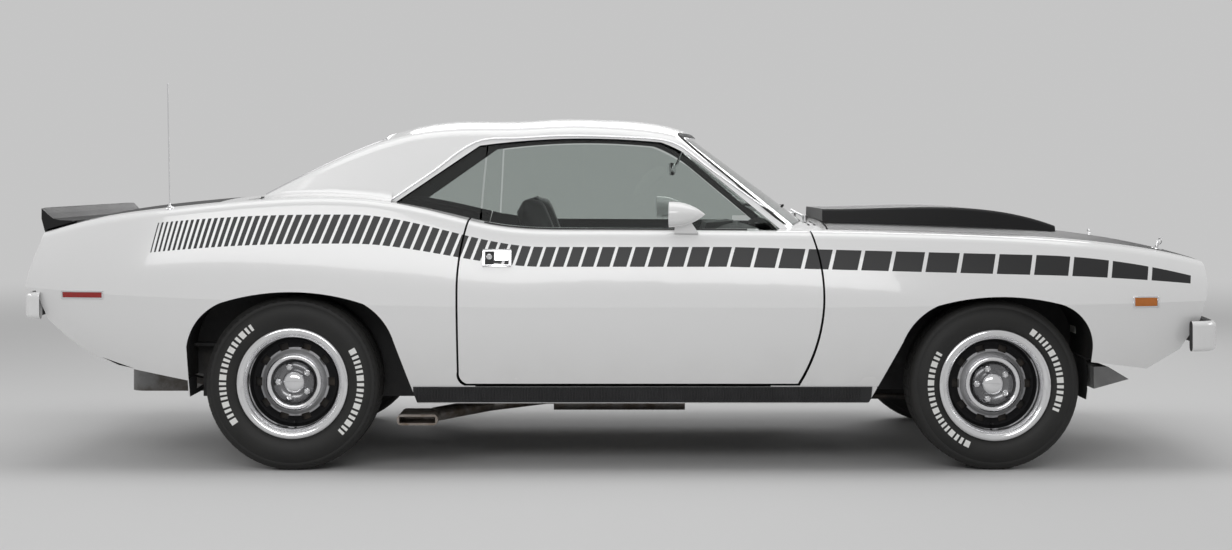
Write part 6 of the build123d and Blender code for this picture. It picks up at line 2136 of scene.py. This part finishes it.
@dataclass
class Cabin:
    """Loose parts of the cabin: mirror, console with its lever, pedals and door furniture."""

    mirror: tuple[float, float, float] = (0.200, 0.0, 1.177)
    console: tuple[float, float] = (-0.300, 0.330)
    lever_x: float = 0.100
    pedal_x: float = 0.500
    door_face: float = 0.705
    crank: tuple[float, float] = (0.060, 0.575)
    pull: tuple[float, float] = (0.300, 0.765)

    def build(self) -> None:
        """Builds the pieces."""
        self.inner_mirror()
        self.centre_console()
        self.pedals()
        for side in Side:
            self.door_furniture(side)

    def inner_mirror(self) -> None:
        """The rear-view mirror under the roof's front edge, on its stem."""
        x, y, z = self.mirror
        place = axes_matrix(self.mirror, (-1.0, 0.0, -0.06))
        corners = [(0.128 * math.copysign(abs(math.cos(a)) ** 0.35, math.cos(a)),
                    0.028 * math.copysign(abs(math.sin(a)) ** 0.55, math.sin(a)))
                   for a in (2 * math.pi * k / 40 for k in range(40))]
        shell = Form().loft([[(u * s, v * s, h) for u, v in corners]
                             for s, h in ((0.70, -0.018), (0.92, -0.013), (1.0, -0.004), (1.0, 0.003),
                                          (0.96, 0.003))], place=place)
        found = Skin("roof", "windscreen").hit((x + 0.030, y, z + 0.010), (0.30, 0.0, 1.0))
        head = found[0] if found else Vector((x + 0.07, y, z + 0.12))
        shell.tube([(x + 0.014, y, z), (x + 0.030, y, z + 0.030), head], [0.006, 0.0055, 0.0055], 10)
        shell.lathe(disc_profile(0.020, 0.006, 0.002), axes_matrix(tuple(head), (-0.2, 0.0, -1.0)), 20)
        shell.piece("inner_mirror", "root", BRIGHT, 40.0)
        glass = Form().prism([(u * 0.93, v * 0.90) for u, v in corners], 0.0032, 0.0044, place)
        glass.piece("inner_mirror_glass", "root", BRUSHED, 30.0)

    def centre_console(self) -> None:
        """The console over the tunnel, with the gear lever, its boot and a plain plate."""
        skin = Skin("floor_pan")
        x0, x1 = self.console
        rings = []
        for k in range(9):
            x = x0 + (x1 - x0) * k / 8
            found = skin.under(x, 0.0, 0.9)
            base = found[0].z - 0.004 if found else 0.42
            rise = 0.060 if x < 0.10 else 0.060 + 0.055 * (x - 0.10) / (x1 - 0.10)
            rings.append([(x, -0.100, base), (x, 0.100, base), (x, 0.090, base + rise - 0.012),
                          (x, 0.078, base + rise), (x, -0.078, base + rise),
                          (x, -0.090, base + rise - 0.012)])
        Form().loft(rings).piece("centre_console", "root", MOULDED, 30.0, 0.003)
        top = rings[4][3][2]
        plate = Form().block((self.lever_x - 0.075, -0.050, top - 0.002),
                             (self.lever_x + 0.060, 0.050, top + 0.008))
        plate.piece("lever_plate", "root", BRUSHED, 30.0, 0.002)
        boot = Form()
        place = Matrix.Translation((self.lever_x, 0.0, top + 0.007))
        folds = [(0.040 - 0.0040 * k + (0.0035 if k % 2 else 0.0), 0.0075 * k) for k in range(8)]
        boot.lathe([*folds, (0.0, folds[-1][1] + 0.004)], place, 28)
        boot.piece("lever_boot", "root", RUBBER, 60.0)
        foot = Vector((self.lever_x, 0.0, top + 0.040))
        tip = Vector((self.lever_x - 0.055, 0.010, top + 0.215))
        bend = foot.lerp(tip, 0.4) + Vector((0.006, 0, 0))
        lever = Form().tube([foot, bend, tip], [0.0065, 0.0060, 0.0050], 12)
        lever.piece("gear_lever", "root", BRIGHT, 40.0)
        ball = [(0.024 * math.sin(math.pi * k / 12), -0.024 * math.cos(math.pi * k / 12)) for k in range(13)]
        knob = Form().lathe(ball, Matrix.Translation(tip + Vector((-0.004, 0.001, 0.014))), 28)
        knob.piece("gear_knob", "root", MOULDED, 60.0)

    def pedals(self) -> None:
        """Clutch, brake and throttle pedals hung under the dashboard."""
        arms, pads = Form(), Form()
        flat = [(-0.0035, -0.010), (0.0035, -0.010), (0.0035, 0.010), (-0.0035, 0.010)]
        for y, low, half_wide, half_high in ((0.505, 0.430, 0.034, 0.024), (0.385, 0.430, 0.046, 0.026),
                                             (0.255, 0.395, 0.026, 0.060)):
            top = Vector((self.pedal_x + 0.060, y, 0.660))
            bend = Vector((self.pedal_x + 0.050, y, low + 0.120))
            foot = Vector((self.pedal_x, y, low + 0.010))
            arms.sweep([top, bend, foot], [flat] * 3, [ASTERN] * 3)
            place = axes_matrix((self.pedal_x - 0.004, y, low), (-1.0, 0.0, 0.45))
            pads.block((-half_wide, -half_high, -0.004), (half_wide, half_high, 0.006), place)
            for k in range(5):
                level = half_high * (-0.72 + 0.36 * k)
                pads.block((-half_wide * 0.86, level - 0.0022, 0.005),
                           (half_wide * 0.86, level + 0.0022, 0.0085), place)
        arms.piece("pedal_arms", "root", CHASSIS, 30.0, 0.001)
        pads.piece("pedal_pads", "root", RUBBER, 30.0, 0.001)

    def lever(self, half: float, foot_low: float, foot_high: float, long: float, tip_low: float,
              tip_high: float) -> list[list[Point]]:
        """The foot and tip of a small lever that rises along its own X.

        Args:
            half: half its width at the foot.
            foot_low: its back's height at the foot.
            foot_high: its face's height at the foot.
            long: its length.
            tip_low: its back's height at the tip.
            tip_high: its face's height at the tip.

        Returns:
            The two rings of points.
        """
        ends = ((0.0, half, foot_low, foot_high), (long, 0.006, tip_low, tip_high))
        return [[(x, -y, low), (x, y, low), (x, y, high), (x, -y, high)] for x, y, low, high in ends]

    def door_furniture(self, side: Side) -> None:
        """A door's window crank, inner handle, pull and trim mouldings.

        Args:
            side: the door's side.
        """
        body = f"door_{side.word}"
        y = side.value * self.door_face
        inward = (0.0, -float(side.value), 0.0)
        bright, dark = Form(), Form()
        crank = axes_matrix((self.crank[0], y, self.crank[1]), inward)
        bright.lathe(disc_profile(0.019, 0.016, 0.003), crank, 24)
        arm = crank @ Matrix.Rotation(math.radians(200), 4, "Z")
        bright.loft(self.lever(0.009, 0.012, 0.020, 0.095, 0.024, 0.031), place=arm)
        dark.lathe(disc_profile(0.012, 0.024, 0.004), arm @ Matrix.Translation((0.090, 0.0, 0.030)), 20)
        pull = axes_matrix((self.pull[0], y, self.pull[1]), inward)
        bright.lathe(disc_profile(0.015, 0.014, 0.003), pull, 24)
        backwards = pull @ Matrix.Rotation(math.radians(180 if side is Side.LEFT else 0), 4, "Z")
        bright.loft(self.lever(0.008, 0.010, 0.017, 0.100, 0.020, 0.026), place=backwards)
        for z0, z1 in ((0.484, 0.490), (0.806, 0.812)):
            low, high = sorted((y, y - side.value * 0.003))
            bright.block((-0.440, low, z0), (0.460, high, z1))
        bright.piece(f"door_fittings_{side.word}", body, BRIGHT, 40.0, 0.0008)
        dark.piece(f"window_crank_knob_{side.word}", body, MOULDED, 40.0)


# ------------------------------------------------------------------ lamps and small parts outside
@dataclass
class Lamps:
    """Headlamp reflectors and bezels, parking lamps and the tail lamps' frames."""

    headlamp: tuple[float, float, float] = (2.226, 0.596, 0.685)
    radius: float = 0.072
    parking_y: float = 0.560
    parking_z: float = 0.500
    tail_y: tuple[float, float] = (0.210, 0.660)
    tail_z: tuple[float, float] = (0.752, 0.858)

    def build(self) -> None:
        """Builds the pieces."""
        for side in Side:
            self.headlamp_inside(side)
            self.headlamp_bezel(side)
            self.parking_lamp(side)
            self.tail_frame(side)

    def headlamp_inside(self, side: Side) -> None:
        """The bright bowl and bulb shield inside a headlamp.

        Args:
            side: the lamp's side.
        """
        x, y, z = self.headlamp
        place = axes_matrix((x, side.value * y, z), AHEAD)
        r = self.radius - 0.003
        quarter = [math.pi / 2 * k / 12 for k in range(13)]
        bowl = [(r * math.sin(t), 0.004 - 0.066 * math.cos(t)) for t in quarter]
        back = [(a + 0.0012, h - 0.0012) for a, h in reversed(bowl[1:])]
        Form().lathe([*bowl, *back, (0.0, bowl[0][1] - 0.0014)], place, 48).piece(
            f"headlamp_bowl_{side.word}", "root", BRIGHT, 60.0)
        shield = [(0.0, -0.010), (0.008, -0.011), (0.014, -0.016), (0.015, -0.030), (0.0, -0.030)]
        Form().lathe(shield, place, 28).piece(f"headlamp_shield_{side.word}", "root", BRIGHT, 40.0)

    def headlamp_bezel(self, side: Side) -> None:
        """The ring round a headlamp.

        Args:
            side: the lamp's side.
        """
        x, y, z = self.headlamp
        place = axes_matrix((x, side.value * y, z), AHEAD)
        r = self.radius
        section = [(r + 0.0008, 0.002), (r + 0.0008, 0.015), (r + 0.003, 0.019), (r + 0.0075, 0.0185),
                   (r + 0.0125, 0.012), (r + 0.014, 0.004), (r + 0.010, 0.001)]
        Form().lathe(section, place, 60, closed=True).piece(
            f"headlamp_bezel_{side.word}", "root", BRIGHT, 35.0)

    def oblong(self, y: float, z: float, half_wide: float, half_high: float, x: float, wide: int = 8,
               high: int = 4) -> list[list[Point]]:
        """A grid of points in front view.

        Args:
            y: its middle across.
            z: its middle height.
            half_wide: half its width.
            half_high: half its height.
            x: where the grid stands, clear of the body.
            wide: points across.
            high: points up.

        Returns:
            The rows of points.
        """
        return [[(x, y + half_wide * (2 * i / (wide - 1) - 1), z + half_high * (2 * j / (high - 1) - 1))
                 for i in range(wide)] for j in range(high)]

    def rim_bars(self, up: float, long: float, out: float, short: float,
                 thick: float) -> list[Sequence[float]]:
        """The four bars of a lamp's rim.

        Args:
            up: how far the level bars stand from the middle.
            long: half their length.
            out: how far the upright bars stand from the middle.
            short: half their length.
            thick: half of every bar's width.

        Returns:
            Each bar's middle, across and up, and its half width and half height.
        """
        return [(0.0, up, long, thick), (0.0, -up, long, thick), (out, 0.0, thick, short),
                (-out, 0.0, thick, short)]

    def parking_lamp(self, side: Side) -> None:
        """A parking lamp in the panel under the front bumper.

        Args:
            side: the lamp's side.
        """
        skin = Skin("front_valance")
        y = side.value * self.parking_y
        rim = Form()
        for dy, dz, half_wide, half_high in self.rim_bars(0.0235, 0.062, 0.059, 0.0205, 0.003):
            rows = self.oblong(y + dy, self.parking_z + dz, half_wide, half_high, 2.6, 5, 3)
            rim.plate(skin, rows, ASTERN, 0.006)
        rim.piece(f"parking_frame_{side.word}", "root", BRIGHT, 30.0, 0.001)
        lens = Form().plate(skin, self.oblong(y, self.parking_z, 0.0555, 0.020, 2.6), ASTERN, 0.0040)
        lens.piece(f"parking_lens_{side.word}", "root", AMBER, 30.0, 0.001)

    def tail_frame(self, side: Side) -> None:
        """A tail lamp's bright frame, its upright dividers and its clear reversing lens.

        Args:
            side: the lamp's side.
        """
        skin = Skin("tail_lamps", "tail_panel")
        (y0, y1), (z0, z1) = self.tail_y, self.tail_z
        middle, half = side.value * (y0 + y1) / 2, (y1 - y0) / 2
        level, tall = (z0 + z1) / 2, (z1 - z0) / 2
        rim = Form()
        for dy, dz, half_wide, half_high in self.rim_bars(tall, half + 0.004, half, tall - 0.004, 0.004):
            rows = self.oblong(middle + dy, level + dz, half_wide, half_high, -2.7, 9, 3)
            rim.plate(skin, rows, AHEAD, 0.0045)
        rim.piece(f"tail_frame_{side.word}", "root", BRIGHT, 30.0, 0.001)
        bars = Form()
        for k in range(1, 4):
            y = middle - half + 2 * half * k / 4
            bars.plate(skin, self.oblong(y, level, 0.003, tall - 0.004, -2.7, 3, 5), AHEAD, 0.0040)
        bars.piece(f"tail_dividers_{side.word}", "root", LID_BLACK, 30.0)
        inner = side.value * (y0 + (y1 - y0) / 8)
        rows = self.oblong(inner, level, half / 4 - 0.006, tall * 0.52, -2.7, 6, 5)
        clear = Form().plate(skin, rows, AHEAD, 0.0030)
        clear.piece(f"reversing_lens_{side.word}", "root", CLEAR_LENS, 30.0, 0.001)


@dataclass
class SmallParts:
    """Mirror glasses, antenna foot, filler lid, and what the engine bay carries."""

    filler: tuple[float, float] = (-1.860, 0.862)
    engine_top: tuple[float, float] = (1.290, 0.0)
    battery_place: tuple[float, float] = (1.900, 0.520)
    battery_height: float = 0.165
    washer_place: tuple[float, float, float] = (1.880, -0.520, 0.600)
    fin_pitch: float = 0.010
    fin_inset: float = 0.045

    def build(self) -> None:
        """Builds the pieces."""
        for side in Side:
            self.mirror_glass(side)
        self.antenna_foot()
        self.filler_lid()
        self.air_cleaner()
        self.battery()
        self.radiator_fins()
        self.washer_bottle()

    def mirror_glass(self, side: Side) -> None:
        """The glass in a door mirror's rear face.

        Args:
            side: the mirror's side.
        """
        low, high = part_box(f"mirror_{side.word}")
        skin = Skin(f"mirror_{side.word}")
        rows = self.rear_face(skin, low, high)
        if rows:
            glass = Form().plate(skin, rows, AHEAD, 0.0016, 0.001)
            glass.piece(f"mirror_glass_{side.word}", f"door_{side.word}", BRUSHED, 30.0)

    def rear_face(self, skin: Skin, low: Point, high: Point) -> list[list[Point]]:
        """A grid of points behind a mirror that all meet its flat rear face.

        Args:
            skin: the mirror.
            low: its box's lowest corner.
            high: its box's highest corner.

        Returns:
            The rows of points, or none where the face isn't found.
        """
        hits = []
        for j in range(24):
            for i in range(24):
                y = low[1] + (high[1] - low[1]) * (i + 0.5) / 24
                z = low[2] + (high[2] - low[2]) * (j + 0.5) / 24
                found = skin.hit((low[0] - 0.2, y, z), AHEAD)
                if found and found[0].x < low[0] + 0.018 and abs(found[1].x) > 0.8:
                    hits.append((y, z))
        if len(hits) < 20:
            return []
        middle_y = sum(y for y, _ in hits) / len(hits)
        middle_z = sum(z for _, z in hits) / len(hits)
        half_y = max(abs(y - middle_y) for y, _ in hits) * 0.80
        half_z = max(abs(z - middle_z) for _, z in hits) * 0.80
        rows = []
        for j in range(7):
            v = 2 * j / 6 - 1
            wide = half_y * math.sqrt(max(1.0 - 0.72 * v * v, 0.05))
            rows.append([(low[0] - 0.2, middle_y + wide * (2 * i / 8 - 1), middle_z + half_z * v)
                         for i in range(9)])
        return rows

    def antenna_foot(self) -> None:
        """The bright foot under the aerial mast."""
        (x0, y0, _), (x1, y1, _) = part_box("antenna")
        profile = [(0.0, 0.020), (0.005, 0.020), (0.006, 0.012), (0.013, 0.006), (0.016, 0.001),
                   (0.016, -0.003), (0.0, -0.003)]
        found = Skin("quarter_right").under((x0 + x1) / 2, (y0 + y1) / 2, 1.3)
        if found is None:
            return
        form = Form().lathe(profile, axes_matrix(tuple(found[0]), tuple(found[1])), 28)
        form.piece("antenna_foot", "root", BRIGHT, 40.0)

    def filler_lid(self) -> None:
        """The round fuel filler lid on the left rear quarter."""
        skin = Skin("quarter_left")
        x, z = self.filler
        found = skin.hit((x, 1.3, z), (0.0, -1.0, 0.0))
        if found is None:
            return
        place = axes_matrix(tuple(found[0]), tuple(found[1]))
        profile = [(0.0, 0.0050), (0.060, 0.0040), (0.066, 0.0025), (0.068, 0.0), (0.068, -0.006),
                   (0.0, -0.006)]
        Form().lathe(profile, place, 48).piece("filler_lid", "root", PLAIN_WHITE, 40.0)

    def air_cleaner(self) -> None:
        """The round air cleaner over the engine, with its lid, wing nut and snorkel."""
        x, y = self.engine_top
        found = Skin("engine").under(x, y, 1.2)
        top = found[0].z if found else 0.80
        place = Matrix.Translation((x, y, top - 0.004))
        pan = [(0.0, 0.0), (0.060, 0.0), (0.080, 0.016), (0.160, 0.018), (0.168, 0.022), (0.168, 0.052),
               (0.0, 0.052)]
        Form().lathe(pan, place, 56).piece("air_cleaner_pan", "root", MOULDED, 35.0)
        lid = [(0.0, 0.066), (0.020, 0.066), (0.030, 0.062), (0.120, 0.060), (0.140, 0.064), (0.168, 0.063),
               (0.174, 0.059), (0.174, 0.052), (0.0, 0.052)]
        Form().lathe(lid, place, 56).piece("air_cleaner_lid", "root", BRIGHT, 35.0)
        stud = Matrix.Translation((x, y, top + 0.061))
        nut = Form().lathe([(0.0, 0.010), (0.008, 0.009), (0.010, 0.0), (0.0, 0.0)], stud, 16)
        nut.block((-0.018, -0.0015, 0.004), (0.018, 0.0015, 0.016), stud)
        nut.piece("air_cleaner_nut", "root", BRIGHT, 35.0)

    def battery(self) -> None:
        """The battery on its tray beside the radiator."""
        x, y = self.battery_place
        found = Skin("front_structure").under(x, y, 0.85)
        base = found[0].z if found and found[0].z > 0.45 else 0.560
        top = base + self.battery_height
        case = Form().block((x - 0.085, y - 0.095, base), (x + 0.085, y + 0.065, top))
        case.block((x - 0.087, y - 0.097, base + 0.150), (x + 0.087, y + 0.067, base + 0.158))
        case.piece("battery_case", "root", MOULDED, 30.0, 0.002)
        posts = Form()
        for dx in (-0.060, 0.060):
            posts.lathe(disc_profile(0.009, 0.018, 0.002), Matrix.Translation((x + dx, y - 0.070, top)), 16)
        for k in range(6):
            cell = Matrix.Translation((x - 0.0625 + 0.025 * k, y + 0.010, top))
            posts.lathe(disc_profile(0.011, 0.008, 0.002), cell, 16)
        posts.piece("battery_posts", "root", CAST, 40.0)

    def radiator_fins(self) -> None:
        """Upright fins over the radiator's front and rear faces."""
        (x0, y0, z0), (x1, y1, z1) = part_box("radiator")
        inset, pitch = self.fin_inset, self.fin_pitch
        count = int((y1 - y0 - 2 * inset) / pitch)
        blade = Form().block((x0 - 0.0015, -0.0012, z0 + inset), (x1 + 0.0015, 0.0012, z1 - inset))
        fin = template("radiator_fin", blade)
        data = ROW.mesh("radiator_fins", CHASSIS, Count=count, From=Vector((0.0, y0 + inset, 0.0)),
                        Step=Vector((0.0, pitch, 0.0)), Shape=fin)
        dress("radiator_fins", data, "root", CHASSIS, 30.0)

    def washer_bottle(self) -> None:
        """The washer bottle on the right apron."""
        x, y, z = self.washer_place
        form = Form().block((x - 0.060, y - 0.045, z - 0.090), (x + 0.060, y + 0.045, z + 0.080))
        form.lathe(disc_profile(0.022, 0.020, 0.004), Matrix.Translation((x + 0.020, y, z + 0.080)), 24)
        form.piece("washer_bottle", "root", BOTTLE_WHITE, 30.0, 0.010)


# ------------------------------------------------------------------ studio
@dataclass
class Studio:
    """The pale floor and backdrop, the soft lamps and the camera."""

    camera_place: tuple[float, float, float] = (-0.085, -8.60, 1.155)
    lens: float = 57.9
    shift: tuple[float, float] = (0.0089, -0.0816)
    floor_half: float = 60.0
    surroundings: float = 0.42
    backdrop: float = 0.56

    def build(self) -> None:
        """Builds the studio."""
        self.floor()
        self.world()
        self.lamps()
        self.camera()

    def floor(self) -> None:
        """A wide flat floor."""
        half = self.floor_half
        data = Form().add([(-half, -half, 0), (half, -half, 0), (half, half, 0), (-half, half, 0)],
                          [(0, 1, 2, 3)]).mesh_data("floor")
        data.materials.append(BOX.get(StudioFloor("studio_floor")))
        floor = bpy.data.objects.new("floor", data)
        bpy.context.scene.collection.objects.link(floor)

    def world(self) -> None:
        """Even surroundings: soft light on the car, and a paler tone where they are seen or mirrored."""
        world = bpy.data.worlds.new("surroundings")
        bpy.context.scene.world = world
        world.use_nodes = True
        nodes, links = world.node_tree.nodes, world.node_tree.links
        soft, seen = nodes["Background"], nodes.new("ShaderNodeBackground")
        for background, strength in ((soft, self.surroundings), (seen, self.backdrop)):
            background.inputs["Color"].default_value = (1.0, 1.0, 1.0, 1.0)
            background.inputs["Strength"].default_value = strength
        light, mix = nodes.new("ShaderNodeLightPath"), nodes.new("ShaderNodeMixShader")
        total = light.outputs["Is Camera Ray"]
        for ray in ("Is Glossy Ray", "Is Transmission Ray"):
            adding = nodes.new("ShaderNodeMath")
            adding.use_clamp = True
            links.new(total, adding.inputs[0])
            links.new(light.outputs[ray], adding.inputs[1])
            total = adding.outputs[0]
        links.new(total, mix.inputs[0])
        links.new(soft.outputs[0], mix.inputs[1])
        links.new(seen.outputs[0], mix.inputs[2])
        links.new(mix.outputs[0], nodes["World Output"].inputs["Surface"])

    def lamp(self, name: str, place: Point, aim: Point, size: tuple[float, float], power: float) -> None:
        """One soft area lamp.

        Args:
            name: its name.
            place: where it hangs.
            aim: what it points at.
            size: its width and height.
            power: its power in watts.
        """
        data = bpy.data.lights.new(name, "AREA")
        data.shape = "RECTANGLE"
        data.size, data.size_y = size
        data.energy = power
        lamp = bpy.data.objects.new(name, data)
        lamp.matrix_world = axes_matrix(place, Vector(place) - Vector(aim))
        bpy.context.scene.collection.objects.link(lamp)

    def lamps(self) -> None:
        """A long lamp overhead and one for each side and end."""
        self.lamp("overhead", (0.0, -0.6, 4.6), (0.0, 0.0, 0.0), (6.5, 2.6), 95.0)
        self.lamp("right_side", (-1.0, -6.5, 3.4), (0.0, 0.0, 0.6), (6.0, 1.6), 110.0)
        self.lamp("left_side", (1.0, 6.5, 3.4), (0.0, 0.0, 0.6), (6.0, 1.6), 110.0)
        self.lamp("nose", (7.0, 0.0, 3.0), (0.0, 0.0, 0.6), (3.0, 1.6), 60.0)
        self.lamp("tail", (-7.0, 0.0, 3.0), (0.0, 0.0, 0.6), (3.0, 1.6), 60.0)

    def camera(self) -> None:
        """The camera on the car's right side."""
        data = bpy.data.cameras.new("camera")
        data.lens = self.lens
        data.shift_x, data.shift_y = self.shift
        data.clip_end = 200.0
        camera = bpy.data.objects.new("camera", data)
        camera.matrix_world = axes_matrix(self.camera_place, (0.0, -1.0, 0.0))
        bpy.context.scene.collection.objects.link(camera)
        bpy.context.scene.camera = camera
        bpy.context.scene.view_settings.view_transform = "Standard"


def main() -> None:
    """Builds the car's pieces in order."""
    Studio().build()
    finish_nodes()
    for end in End:
        for side in Side:
            Wheel(end, side).build()
    for side in Side:
        SideTrim(side).build()
    Brightwork().build()
    FrontSeats().build()
    RearSeat().build()
    Dashboard().build()
    Cabin().build()
    Lamps().build()
    SmallParts().build()


if __name__ == "__main__":
    main()
